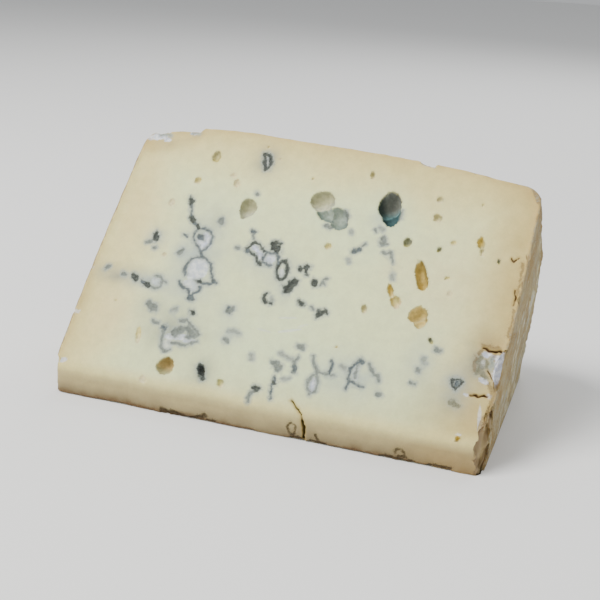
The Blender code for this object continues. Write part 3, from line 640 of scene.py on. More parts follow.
def ellipse_gap(place, across, up, wide, high, tilt, uneven, seed):
    """Signed distance (below 0 inside) and relative radius for an uneven ellipse."""
    turn = math.radians(tilt)
    off = place - (across, up)
    side = off[:, 0] * math.cos(turn) + off[:, 1] * math.sin(turn)
    rise = off[:, 1] * math.cos(turn) - off[:, 0] * math.sin(turn)
    radius = np.hypot(side / wide, rise / high) + 1e-4
    heading = np.column_stack((side / wide / radius, rise / high / radius, np.full(len(side), 0.37 * seed)))
    wobble = 1.0 + uneven * noise(heading, 0.9, seed) + 0.4 * uneven * noise(heading, 0.35, seed + 1)
    radius /= wobble
    return np.hypot(side, rise) * (1.0 - 1.0 / np.maximum(radius, 1e-3)), radius


def line_gap(place, line):
    """Distance from each place to a line of straight stretches."""
    nearest = np.full(len(place), 1e3)
    for start, end in zip(line, line[1:]):
        start = np.array(start)
        run = np.array(end) - start
        along = np.clip((place - start) @ run / (run @ run), 0.0, 1.0)
        nearest = np.minimum(nearest, np.linalg.norm(place - start - along[:, None] * run, axis=1))
    return nearest


def strokes():
    """Each line of mould as its half width, its colour and its points."""
    for colour, rows in STROKES.items():
        for width, *line in rows:
            yield width, colour, line


def near(place, spots, reach):
    """Which places lie within reach of the box round some spots."""
    spots = np.array(spots)
    return np.all((place > spots.min(0) - reach) & (place < spots.max(0) + reach), axis=1)


def within(place, feature, margin):
    """Which places lie in an upright ellipse this much larger than the feature."""
    across, up, wide, high = feature[:4]
    return np.hypot((place[:, 0] - across) / (wide + margin), (place[:, 1] - up) / (high + margin)) < 1.0


# ------------------------------------------------------------------------------ the lattice
def wanted_fineness():
    """How finely each coarse square is divided: 1, 2 or 4 steps a side."""
    column, row = np.meshgrid(np.arange(COLUMNS) + 0.5, np.arange(ROWS) + 0.5, indexing="ij")
    points, zone = place_surface(column.ravel(), row.ravel())
    place = face_place(points, zone)
    fine = np.ones(len(points), int)
    ends = (zone == LEFT) | (zone == RIGHT)
    fine[zone == RIM] = 2
    fine[ends] = 2
    front = np.isin(zone, CUT_FACES)
    for eye in EYES:
        fine[front & within(place, eye, 1.3)] = FINE
    for width, _, line in strokes():
        spot = front & near(place, line, 3.0)
        fine[np.flatnonzero(spot)[line_gap(place[spot], line) < width + 1.2]] = FINE
    for width, _, _, line in CRACKS:
        spot = (front | ((zone == RIGHT) & (below_cut(points) < 5.0))) & near(place, line, 3.0)
        fine[np.flatnonzero(spot)[line_gap(place[spot], line) < width + 1.4]] = FINE
    for feature in CELLS + CHIPS:
        fine[front & within(place, feature, 1.0)] = FINE
    # The lower cut face is fine near its eyes alone.
    hidden = (zone == BASE) & (fine == FINE)
    fine[hidden] = 2
    for eye in EYES:
        fine[hidden & within(place, eye, 0.8)] = FINE
    fine = fine.reshape(COLUMNS, ROWS)
    crest = FACET_ROWS + CUT_ROWS
    first, last = END_COLUMNS, END_COLUMNS + LENGTH_COLUMNS
    fine[first:last, crest - 1:crest + 1] = FINE
    fine[first - 1:first + 1, :crest + 1] = FINE
    fine[last - 1:last + 1, :crest + 1] = FINE
    fine[:4, :] = 1
    fine[-4:, :] = 1
    return fine


def build_lattice(fine):
    """Faces over a lattice that is finer where asked; a coarse face takes in its neighbours' points."""
    wide, round_ = COLUMNS * FINE, ROWS * FINE
    used = np.zeros((wide + 1, round_), bool)
    squares = []
    for count in (1, 2, FINE):
        step = FINE // count
        column, row = np.nonzero(fine == count)
        for across in range(count + 1):
            for along in range(count + 1):
                used[column * FINE + across * step, (row * FINE + along * step) % round_] = True
        for across in range(count):
            for along in range(count):
                squares.append((column * FINE + across * step, row * FINE + along * step, step))
    index = np.full(used.shape, -1)
    index[used] = np.arange(used.sum())
    faces = []
    for column, row, step in squares:
        rim = [(column + a, row) for a in range(step)]
        rim += [(column + step, row + b) for b in range(step)]
        rim += [(column + step - a, row + step) for a in range(step)]
        rim += [(column, row + step - b) for b in range(step)]
        around = np.stack([index[c, r % round_] for c, r in rim], axis=1)
        plain = np.all(np.delete(around, np.arange(0, 4 * step, step), axis=1) < 0, axis=1)
        faces += around[plain][:, ::step].tolist()
        faces += [[point for point in loop if point >= 0] for loop in around[~plain].tolist()]
    first = index[0][index[0] >= 0].tolist()
    last = index[-1][index[-1] >= 0].tolist()
    faces += [first, last[::-1]]
    column, row = np.nonzero(used)
    return column / FINE, row / FINE, faces


# -------------------------------------------------------------------------------- the relief
def bitten(points):
    """Push points out of the chips, as if the crust had broken away."""
    frame_axes = np.array(((1.0, 0.0, 0.0), UP, OUT))
    start = np.array((0.0, 0.0, NOSE_HEIGHT))
    for number, (across, up, wide, high, deep, tilt) in enumerate(CHIPS):
        turn = math.radians(tilt)
        spin = np.array(((math.cos(turn), math.sin(turn), 0.0), (-math.sin(turn), math.cos(turn), 0.0),
                         (0.0, 0.0, 1.0)))
        axes = spin @ frame_axes
        centre = start + across * frame_axes[0] + up * UP
        local = (points - centre) @ axes.T
        sizes = np.array((wide, high, deep))
        rough = 1.0 + 0.20 * noise(points, 2.6, 40 + number) + 0.08 * noise(points, 0.9, 60 + number)
        radius = np.linalg.norm(local / sizes, axis=1) / rough
        inside = (radius < 1.0) & (radius > 1e-6)
        moved = centre + (local / np.maximum(radius, 1e-6)[:, None]) @ axes
        points = np.where(inside[:, None], moved, points)
    return points


def crest_rise(points, zone):
    """Most of the upper edge stands a little proud, and drops in a step at its left end."""
    spoke = points * (0.0, 1.0, 1.0) + (0.0, NOSE_SETBACK, 0.0)
    length = np.linalg.norm(spoke, axis=1)
    stretch = smooth(-50.4, -48.4, points[:, 0]) * (1.0 - smooth(44.0, 62.0, points[:, 0]))
    stretch *= 1.0 - 0.5 * smooth(-36.0, -6.0, points[:, 0])
    down = np.where(zone == RIM, WHEEL_RADIUS * (WEDGE_ANGLE - np.arctan2(spoke[:, 2], spoke[:, 1])), 0.0)
    rise = CREST_RISE * stretch * smooth(0.89, 1.0, length / WHEEL_RADIUS) * np.exp(-down / 14.0)
    return spoke * ((zone != BASE) * rise / length)[:, None]


def rind_depths(points):
    """How deep below the rind of the left end, the right end and the rim each point lies."""
    from_axis = np.hypot(points[:, 1] + NOSE_SETBACK, points[:, 2])
    share = from_axis / WHEEL_RADIUS
    out = np.clip(1.0 - share ** 2, 0.0, None)
    left = points[:, 0] - (LEFT_END - SWELL_LEFT * out)
    right = RIGHT_END + SWELL_RIGHT * out + lean(points[:, 2]) * share - points[:, 0]
    rim = rim_radius(points[:, 0]) - from_axis
    return left, right, rim


def mix(base, name, amount):
    """Blend a named colour into an array of colours."""
    return base + (np.array(linear(name)[:3]) - base) * np.clip(amount, 0.0, 1.0)[:, None]


def paste_tint(points, place, zone, depths):
    """The slow colour changes of the paste, and a darker foot of the nose facet that is partly painted
    contact shadow.
    """
    left, right, rim = (np.clip(depth, 0.0, None) for depth in depths)
    depth = np.minimum(np.minimum(left, right), rim)
    drift = noise(points, 22.0, 3)
    tint = np.tile(np.array(linear("heart")[:3]), (len(points), 1))
    tint = mix(tint, "margin", 1.0 - smooth(4.0, 24.0, depth + 5.0 * drift))
    tint = mix(tint, "haze_green", 0.40 * smooth(14.0, 30.0, depth + 6.0 * drift))
    front = np.isin(zone, CUT_FACES)
    for number, (across, up, wide, high, name, strength) in enumerate(HAZES):
        gap = np.hypot((place[:, 0] - across) / wide, (place[:, 1] - up) / high)
        patchy = 1.0 + 0.45 * noise(points, 4.0, 80 + number)
        tint = mix(tint, name, strength * np.exp(-1.1 * gap ** 2) * patchy * front)
    uneven = 1.0 + 0.35 * noise(points, 9.0, 7)
    tan = 0.42 * np.exp(-left / (2.4 * uneven)) + 0.72 * np.exp(-right / (4.2 * uneven))
    tan += 0.74 * np.exp(-rim / (3.4 * uneven))
    tint = mix(tint, "under_rind", np.minimum(tan, 0.92))
    low = -place[:, 1]
    tint = mix(tint, "margin", 0.75 * front * smooth(-5.0, 0.0, low + drift))
    tint = mix(tint, "nose", 0.9 * front * smooth(-1.5, 3.6, low + 0.5 * drift))
    # This line and the umber band below darken the foot of the nose facet. They are partly the brown edge of
    # the crust and partly painted contact shadow where the wedge meets what it lies on.
    tint = mix(tint, "nose_low", 0.95 * front * smooth(3.4, 8.2, low + 1.2 * noise(points, 7.0, 4)))
    crusty = low + 0.8 * noise(points, 3.4, 14) + 0.9 * noise(points, 12.0, 15)
    tint = mix(tint, "umber", 0.80 * front * smooth(7.4, 9.3, crusty))
    return mix(tint, "crust", 0.60 * front * smooth(40.0, 62.0, place[:, 0]) * smooth(0.5, 4.0, low))


def lining_colour(off, wide, high, tilt, lining):
    """The colours inside one eye, from its top to its bottom, partly painted light and shade, and darker
    along one edge as painted shade on that wall.
    """
    above, below, edge, heading, dark = LININGS[lining]
    turn = math.radians(tilt)
    side = (off[:, 0] * math.cos(turn) + off[:, 1] * math.sin(turn)) / wide
    rise = (off[:, 1] * math.cos(turn) - off[:, 0] * math.sin(turn)) / high
    colour = np.tile(np.array(linear(above)[:3]), (len(off), 1))
    colour = mix(colour, below, smooth(-0.3, 0.6, 0.25 * side - rise))
    turn = math.radians(heading)
    towards = side * math.cos(turn) + rise * math.sin(turn)
    return mix(colour, edge, dark * smooth(0.25, 0.95, towards))


def eye_fields(place, front):
    """Signed distance to the nearest eye, its lining's colour, how deep it goes, and a snap."""
    gap = np.full(len(place), 3.0)
    depth = np.zeros(len(place))
    colour = np.tile(np.array(linear("tan")[:3]), (len(place), 1))
    shift = np.zeros((len(place), 2))
    for number, (across, up, wide, high, tilt, deep, lining) in enumerate(EYES):
        spot = np.flatnonzero(front & near(place, [(across, up)], max(wide, high) * 1.4 + 3.0))
        inner, radius = ellipse_gap(place[spot], across, up, wide, high, tilt, 0.16, 7 * number + 11)
        closer = inner < gap[spot]
        chosen = spot[closer]
        gap[chosen] = inner[closer]
        # The lining colour carries painted shade on one wall of the eye.
        colour[chosen] = lining_colour(place[chosen] - (across, up), wide, high, tilt, lining)
        bowl = deep * np.sqrt(np.clip(1.0 - radius ** 2, 0.0, 1.0))
        depth[spot] = np.maximum(depth[spot], bowl)
        snap = np.abs(inner) < 0.18
        away = place[spot] - (across, up)
        away /= np.linalg.norm(away, axis=1, keepdims=True) + 1e-6
        shift[spot[snap]] = -(away * inner[:, None])[snap]
    return gap, colour, depth, shift


def stroke_fields(place, points, front):
    """Signed thickness of the mould at each point, its colour and strength, and its halo."""
    ink = np.full(len(place), NOWHERE)
    halo = np.zeros(len(place))
    colour = np.tile(np.array(linear("slate")), (len(place), 1))
    warp = np.column_stack((noise(points, 1.5, 21), noise(points, 1.5, 22))) * 0.42
    thick = 1.0 + 0.50 * noise(points, 1.3, 23)
    for width, name, line in strokes():
        spot = np.flatnonzero(front & near(place, line, width + 2.5))
        sign = (width + THICKEN) * thick[spot] - line_gap(place[spot] + warp[spot], line)
        closer = sign > ink[spot]
        chosen = spot[closer]
        ink[chosen] = sign[closer]
        strength, halo[chosen] = MOULD[name]
        colour[chosen] = linear(name)[:3] + (strength,)
    return ink, colour, halo


def crack_fields(place, points, zone):
    """Signed thickness, depth and colour of the fissures; on the end face they soon run out."""
    sign = np.full(len(place), NOWHERE)
    depth = np.zeros(len(place))
    colour = np.tile(np.array(linear("bark")[:3]), (len(place), 1))
    warp = np.column_stack((noise(points, 1.7, 31), noise(points, 1.7, 32))) * 0.35
    beneath = np.where(zone == RIGHT, below_cut(points), 0.0)
    allowed = (zone == CUT) | (zone == FACET) | (zone == RIGHT)
    for width, deep, name, line in CRACKS:
        spot = np.flatnonzero(allowed & near(place, line, width + 2.5) & (beneath < 4.0))
        gap = np.hypot(line_gap(place[spot] + warp[spot], line), 0.3 * beneath[spot])
        inner = width * (1.0 + 0.4 * noise(points[spot], 1.3, 33)) - gap
        closer = inner > sign[spot]
        sign[spot[closer]] = inner[closer]
        colour[spot[closer]] = linear(name)[:3]
        depth[spot] = np.maximum(depth[spot], deep * smooth(-0.2, width, inner))
    return sign, depth, colour


def cell_fields(place, points, front):
    """Signed distance into the pale mould, and how strongly it shows."""
    bloom = np.full(len(place), NOWHERE)
    strength = np.zeros(len(place))
    for number, (across, up, wide, high, tilt, strong) in enumerate(CELLS):
        spot = np.flatnonzero(front & near(place, [(across, up)], max(wide, high) * 1.4 + 2.0))
        inner, _ = ellipse_gap(place[spot], across, up, wide, high, tilt, 0.30, 5 * number + 400)
        closer = -inner > bloom[spot]
        bloom[spot[closer]] = -inner[closer]
        strength[spot[closer]] = strong
    return bloom, strength


def rind_cracks(points, zone):
    """A few wandering cracks in the rim's rind, as signed thickness."""
    rng = np.random.default_rng(77)
    sign = np.full(len(points), NOWHERE)
    turn = np.arctan2(points[:, 2], points[:, 1] + NOSE_SETBACK) * WHEEL_RADIUS
    flat = np.column_stack((points[:, 0], turn))
    warp = np.column_stack((noise(points, 2.2, 34), noise(points, 2.2, 35))) * 0.7
    high = WEDGE_ANGLE * WHEEL_RADIUS
    for _ in range(8):
        start = np.array((rng.uniform(LEFT_END + 10, RIGHT_END - 10), rng.uniform(10.0, high - 10.0)))
        heading = rng.normal(0.0, 0.5) + math.pi * rng.integers(0, 2)
        line = [start]
        for _ in range(int(rng.integers(3, 7))):
            heading += rng.normal(0.0, 0.45)
            line.append(line[-1] + rng.uniform(1.6, 3.4) * np.array((math.cos(heading), math.sin(heading))))
        width = rng.uniform(0.16, 0.34)
        spot = np.flatnonzero((zone == RIM) & near(flat, line, 3.0))
        along = np.linalg.norm(flat[spot] - line[0], axis=1)
        thin = width * (1.0 - along / 26.0) * (1.0 + 0.6 * noise(points[spot], 2.4, 36))
        sign[spot] = np.maximum(sign[spot], thin - line_gap(flat[spot] + warp[spot], line))
    return sign


def rind_relief(points):
    """Lumps, wrinkles and small pits of a natural rind."""
    lumps = 0.50 * noise(points, 11.0, 51) + 0.30 * noise(points, 4.6, 52)
    wrinkle = 1.0 - np.abs(noise(points * (1.0, 1.7, 1.7), 4.2, 53))
    pits = smooth(0.34, 0.75, noise(points, 3.2, 54)) * smooth(-0.3, 0.4, noise(points, 17.0, 56))
    return lumps + 0.32 * wrinkle ** 3 - 0.65 * pits + 0.14 * noise(points, 1.7, 55)


def add_attribute(mesh, name, values):
    """Store a number or a colour for every point of the mesh."""
    if values.ndim == 1:
        layer = mesh.attributes.new(name, "FLOAT", "POINT")
        layer.data.foreach_set("value", values.astype(np.float32))
        return
    if values.shape[1] == 3:
        values = np.column_stack((values, np.ones(len(values))))
    layer = mesh.attributes.new(name, "FLOAT_COLOR", "POINT")
    layer.data.foreach_set("color", values.astype(np.float32).ravel())


def edge_fade(column, row, zone):
    """1 on the rind, down to 0 at its edges and on the cut faces."""
    from_crest = row - FACET_ROWS - CUT_ROWS
    beyond = np.maximum(END_COLUMNS - column, column - END_COLUMNS - LENGTH_COLUMNS)
    inward = np.select([zone == RIM, zone >= LEFT], [np.minimum(from_crest, RIM_ROWS - from_crest), beyond])
    return smooth(0.0, 2.0, inward)


def surface_height(plain, zone, fade, depth, rim_crack, relief):
    """How far each point stands out: lumps and cracks in the rind, slow waves in the cut faces."""
    quiet = np.select([zone == RIGHT, zone == LEFT], [0.40, 0.75], 1.0)
    height = fade * quiet * relief - 0.9 * smooth(-0.25, 0.35, rim_crack)
    wave = 0.22 * noise(plain, 24.0, 5) + 0.05 * noise(plain, 5.0, 6)
    height += np.isin(zone, CUT_FACES) * wave * smooth(0.0, 4.0, depth)
    height += (zone == FACET) * (0.16 * noise(plain, 3.0, 8) + 0.3 * noise(plain, 14.0, 9))
    burr = 0.35 * np.exp(-((depth - 0.5) / 0.6) ** 2) * (0.6 + 0.8 * noise(plain, 4.5, 10))
    return height + (zone == CUT) * burr


def rind_wear(plain, zone, row):
    """How bare of bloom the rind is: most along the upper cut and on the right end."""
    crest_glow = np.exp(-np.abs(row - FACET_ROWS - CUT_ROWS) / 2.4)
    rim = np.maximum(0.10, 0.95 * crest_glow) + 0.50 * np.exp((plain[:, 0] - RIGHT_END) / 5.0)
    right = 0.95 - 0.36 * smooth(4.0, 30.0, below_cut(plain))
    return np.select([zone == RIGHT, zone == LEFT, zone == RIM], [right, 0.34, rim], 0.8)


def make_cheese():
    """The whole wedge as one closed mesh, with its looks stored point by point."""
    column, row, faces = build_lattice(wanted_fineness())
    plain, zone = place_surface(column, row)
    middle = (plain.min(0) + plain.max(0)) / 2 * (1.0, 1.0, 0.0)
    front = np.isin(zone, CUT_FACES)
    skin = ~front
    base = zone == BASE
    place = face_place(plain, zone)

    gap, lining, eye_depth, shift = eye_fields(place, (zone == CUT) | base)
    shift[base] *= -1.0
    snapped = plain + shift[:, :1] * (1.0, 0.0, 0.0)
    snapped += shift[:, 1:] * np.where(base[:, None], (0.0, 1.0, 0.0), UP)
    place = face_place(snapped, zone)
    crest = crest_rise(plain, zone)
    chipped = bitten(snapped + crest)
    depths = rind_depths(chipped - crest)
    depth = np.minimum(np.minimum(depths[0], depths[1]), depths[2])
    ink, ink_colour, halo = stroke_fields(place, plain, front)
    crack, crack_depth, crack_colour = crack_fields(place, plain, zone)
    lip = front | ((zone == RIGHT) & (below_cut(plain) < LIP_REACH))
    bloom, bloom_strength = cell_fields(place, plain, lip)
    rim_crack = rind_cracks(plain, zone)

    mesh = bpy.data.meshes.new("cheese")
    mesh.from_pydata((chipped * MM).tolist(), [], faces)
    normals = np.empty(len(chipped) * 3, np.float32)
    mesh.vertex_normals.foreach_get("vector", normals)
    normals = normals.reshape(-1, 3).astype(float)

    relief = rind_relief(plain)
    height = surface_height(plain, zone, edge_fade(column, row, zone), depth, rim_crack, relief)
    pit = front * np.clip(ink + 0.15, 0.0, 1.4) * ink_colour[:, 3] ** 2
    cell = front * smooth(-0.2, 0.8, bloom) * bloom_strength
    height -= MOULD_DEPTH * pit + 0.22 * cell * (1.0 + 0.8 * noise(plain, 1.1, 12)) + crack_depth
    eye_floor = 1.25 * eye_depth + 0.22 * noise(plain, 1.2, 13) * smooth(0.3, 1.5, eye_depth)
    eye_floor = np.maximum(eye_floor, 0.0)
    moved = chipped + normals * height[:, None] - OUT * eye_floor[:, None]
    lift = eye_floor + UNDER_MOULD_DEPTH * pit
    moved[base] = (chipped + lift[:, None] * (0.0, 0.0, 1.0))[base]
    moved[:, 2] = np.maximum(moved[:, 2], 0.0)
    moved -= middle
    mesh.vertices.foreach_set("co", (moved * MM).astype(np.float32).ravel())

    tint = paste_tint(plain, place, zone, depths)
    bite = np.linalg.norm(chipped - crest - snapped, axis=1)
    torn = smooth(0.2, 1.6, bite) * (plain[:, 0] > FLAKING_FROM)
    tint = mix(tint, "torn", torn * (0.80 + 0.25 * noise(plain, 3.0, 16)))
    tint = mix(tint, "umber", torn * smooth(0.0, 0.7, noise(plain, 2.2, 17) - 0.02 * place[:, 1]) * 0.5)
    stored = {
        "tint": tint, "depth": np.where(skin & (depth < 0.4), 0.0, depth),
        "wear": rind_wear(plain, zone, row), "relief": relief,
        "hollow": np.where(front, -gap, -3.0), "lining": lining,
        "ink": np.where(front, ink, NOWHERE), "ink_colour": ink_colour, "halo": halo,
        "crack": np.maximum(crack, rim_crack), "crack_colour": crack_colour,
        "bloom": np.where(lip, bloom, NOWHERE), "bloom_strength": bloom_strength,
    }
    for name, values in stored.items():
        add_attribute(mesh, name, values)
    mesh.validate()
    mesh.shade_smooth()
    mesh.set_sharp_from_angle(angle=SHARP_ANGLE)
    thing = bpy.data.objects.new("cheese", mesh)
    bpy.context.scene.collection.objects.link(thing)
    return thing, middle


# ------------------------------------------------------------------------------- materials
class Nodes:
    """Short ways to add shader nodes to one material."""

    def __init__(self, name):
        self.material = bpy.data.materials.new(name)
        self.material.use_nodes = True
        self.tree = self.material.node_tree
        self.shader = self.tree.nodes["Principled BSDF"]

    def add(self, kind, settings=(), **inputs):
        node = self.tree.nodes.new(kind)
        for name, value in dict(settings).items():
            setattr(node, name, value)
        for name, value in inputs.items():
            self.feed(node.inputs[name.replace("_", " ")], value)
        return node

    def feed(self, socket, value):
        if isinstance(value, bpy.types.NodeSocket):
            self.tree.links.new(value, socket)
        else:
            socket.default_value = value

    def math(self, operation, first, second=0.0):
        node = self.add("ShaderNodeMath", {"operation": operation})
        self.feed(node.inputs[0], first)
        self.feed(node.inputs[1], second)
        return node.outputs[0]

    def attribute(self, name):
        node = self.add("ShaderNodeAttribute", {"attribute_name": name})
        return node

    def value(self, name):
        return self.attribute(name).outputs["Fac"]

    def position(self):
        return self.add("ShaderNodeTexCoord").outputs["Object"]

    def noise(self, size, detail=3.0, rough=0.55, stretch=(1.0, 1.0, 1.0), shift=0.0):
        """Noise whose lumps are about this many millimetres."""
        mapping = self.add("ShaderNodeMapping", Vector=self.position())
        mapping.inputs["Scale"].default_value = stretch
        mapping.inputs["Location"].default_value = (shift, 0.7 * shift, -0.4 * shift)
        node = self.add("ShaderNodeTexNoise", Vector=mapping.outputs[0], Scale=1.0 / (size * MM),
                        Detail=detail, Roughness=rough)
        return node.outputs["Fac"]

    def ramp(self, value, low, high, start=0.0, end=1.0):
        node = self.add("ShaderNodeMapRange", {"interpolation_type": "SMOOTHSTEP"})
        self.feed(node.inputs["Value"], value)
        for name, number in (("From Min", low), ("From Max", high), ("To Min", start), ("To Max", end)):
            self.feed(node.inputs[name], number)
        return node.outputs["Result"]

    def mix(self, amount, first, second, blend="MIX"):
        node = self.add("ShaderNodeMix", {"data_type": "RGBA", "blend_type": blend})
        self.feed(node.inputs[0], amount)
        self.feed(node.inputs[6], first)
        self.feed(node.inputs[7], second)
        return node.outputs[2]

    def bump(self, height, distance, strength=1.0, normal=None):
        node = self.add("ShaderNodeBump", Height=height, Distance=distance * MM, Strength=strength)
        if normal is not None:
            self.feed(node.inputs["Normal"], normal)
        return node.outputs["Normal"]


def shaded(n, colour, low, high, value):
    """Make a colour darker or lighter by a factor that follows a noise value."""
    factor = n.ramp(value, 0.32, 0.68, low, high)
    grey = n.add("ShaderNodeCombineColor", Red=factor, Green=factor, Blue=factor)
    return n.mix(1.0, colour, grey.outputs[0], "MULTIPLY")


def paste_colour(n):
    """Paste with its mottling, then its pale mould, its eyes and its dark mould."""
    colour = shaded(n, n.attribute("tint").outputs["Color"], 0.955, 1.03, n.noise(3.4, 4.0))
    colour = shaded(n, colour, 0.975, 1.015, n.noise(0.8, 2.0, shift=0.3))

    fringe = n.math("MULTIPLY", n.math("SUBTRACT", n.noise(0.8, 4.0, 0.65, shift=0.5), 0.5), 1.5)
    bloom_edge = n.ramp(n.math("ADD", n.value("bloom"), fringe), -0.30, 0.45)
    bloom_amount = n.math("MULTIPLY", bloom_edge, n.value("bloom_strength"))
    cloud = n.ramp(n.noise(1.5, 4.0, 0.6, shift=0.8), 0.38, 0.60)
    cloud = n.mix(cloud, linear("bloom"), linear("bloom_shade"))
    cloud = n.mix(n.ramp(n.noise(0.7, 3.0, 0.6, shift=0.9), 0.56, 0.68, 0.0, 0.45), cloud, linear("halo"))
    colour = n.mix(n.math("MULTIPLY", bloom_amount, 0.92), colour, cloud)

    frayed = n.math("MULTIPLY", n.math("SUBTRACT", n.noise(0.9, 3.0, 0.6, shift=1.7), 0.5), 0.7)
    hollow_edge = n.ramp(n.math("ADD", n.value("hollow"), frayed), -0.22, 0.18)
    # The linings carry painted shade on one wall of each eye, and painted light and shade from top to bottom
    # alongside their own colours.
    rim_stain = n.ramp(n.value("hollow"), -1.1, 0.0, 0.0, 0.22)
    lining = shaded(n, n.attribute("lining").outputs["Color"], 0.88, 1.14, n.noise(1.3, 3.0, shift=1.1))
    colour = n.mix(rim_stain, colour, lining)
    colour = n.mix(hollow_edge, colour, lining)

    jitter = n.math("MULTIPLY", n.math("SUBTRACT", n.noise(0.62, 4.0, 0.68, shift=1.4), 0.5), 1.5)
    ink_sign = n.math("ADD", n.value("ink"), jitter)
    ink_node = n.attribute("ink_colour")
    strength = ink_node.outputs["Alpha"]
    halo = n.math("MULTIPLY", n.ramp(n.value("ink"), -1.48, 0.2, 0.0, 0.85), n.value("halo"))
    colour = n.mix(halo, colour, linear("halo"))
    dust = n.math("MULTIPLY", n.ramp(n.noise(0.36, 2.0, shift=1.9), 0.55, 0.64),
                  n.ramp(n.value("ink"), -1.3, 0.1, 0.0, 0.75))
    colour = n.mix(n.math("MULTIPLY", dust, strength), colour, ink_node.outputs["Color"])
    core = n.ramp(ink_sign, -0.34, 0.30)
    grains = n.ramp(n.noise(0.34, 2.0, 0.6, shift=2.7), 0.38, 0.60, 0.82, 1.0)
    body = shaded(n, ink_node.outputs["Color"], 0.70, 1.30, n.noise(0.8, 4.0, 0.68, shift=2.3))
    colour = n.mix(n.math("MULTIPLY", n.math("MULTIPLY", core, grains), strength), colour, body)
    return colour, ink_sign, bloom_amount


def spread(n, size, grain, weight, low, high, most, shift, stretch=(1.0, 1.0, 1.0)):
    """Growth in patches of about one size, broken up by a finer grain."""
    broad = n.noise(size, 4.0, 0.6, shift=shift)
    fine = n.noise(grain, 4.0, 0.68, stretch, shift + 0.37)
    return n.ramp(n.math("ADD", broad, n.math("MULTIPLY", fine, weight)), low, high, 0.0, most)


ALONG = (0.45, 1.0, 1.0)        # stretches a noise along the wheel's axis


def rind_colour(n):
    """A dry natural rind: greyish white bloom with fine grit, and bare tan crust."""
    pale = n.mix(spread(n, 15.0, 2.0, 0.5, 0.66, 0.86, 0.75, 3.5), linear("rind_pale"), linear("rind_grey"))
    pale = n.mix(spread(n, 19.0, 2.6, 0.4, 0.66, 0.84, 0.60, 5.0), pale, linear("rind_sand"))
    pale = n.mix(spread(n, 16.0, 3.0, 0.4, 0.76, 0.86, 0.55, 4.2), pale, linear("rind_lilac"))
    pale = n.mix(spread(n, 9.0, 0.8, 1.0, 1.05, 1.20, 0.70, 6.6), pale, linear("rind_cream"))
    pale = n.mix(spread(n, 8.0, 0.7, 1.0, 1.04, 1.16, 0.60, 5.9, ALONG), pale, linear("rind_olive"))
    pale = n.mix(spread(n, 13.0, 1.4, 0.7, 0.99, 1.08, 0.75, 7.1), pale, linear("rind_ochre"))
    specks = n.ramp(n.noise(0.55, 2.0, 0.6, ALONG, 7.9), 0.68, 0.74, 0.0, 0.75)
    pale = n.mix(specks, pale, linear("rind_dark"))
    relief = n.value("relief")
    pale = n.mix(n.ramp(relief, -0.95, -0.20, 0.75, 0.0), pale, linear("rind_olive"))
    pale = n.mix(n.ramp(relief, 0.10, 0.70, 0.0, 0.35), pale, linear("rind_pale"))
    pale = shaded(n, pale, 0.90, 1.06, n.noise(1.1, 5.0, 0.72, ALONG, 8.3))

    bare = n.mix(n.ramp(n.noise(9.0, 6.0, 0.68, shift=8.0), 0.40, 0.62), linear("rind_tan"), linear("crust"))
    bare = n.mix(spread(n, 6.0, 0.6, 1.0, 1.00, 1.16, 0.60, 9.7), bare, linear("rind_grey"))
    bare = n.mix(spread(n, 5.0, 1.2, 0.6, 0.90, 1.04, 0.55, 8.8), bare, linear("rind_brown"))
    bare = n.mix(spread(n, 11.0, 1.6, 0.6, 0.90, 1.02, 0.65, 9.1), bare, linear("rind_sand"))
    bare = n.mix(n.ramp(n.noise(0.8, 3.0, shift=9.4), 0.64, 0.70, 0.0, 0.7), bare, linear("rind_brown"))
    uneven = n.math("MULTIPLY", n.math("SUBTRACT", n.noise(7.0, 5.0, 0.62, shift=9.9), 0.5), 1.7)
    colour = n.mix(n.ramp(n.math("ADD", n.value("wear"), uneven), 0.42, 0.68), pale, bare)
    return shaded(n, colour, 0.92, 1.05, n.noise(0.5, 4.0, 0.7, shift=10.4))


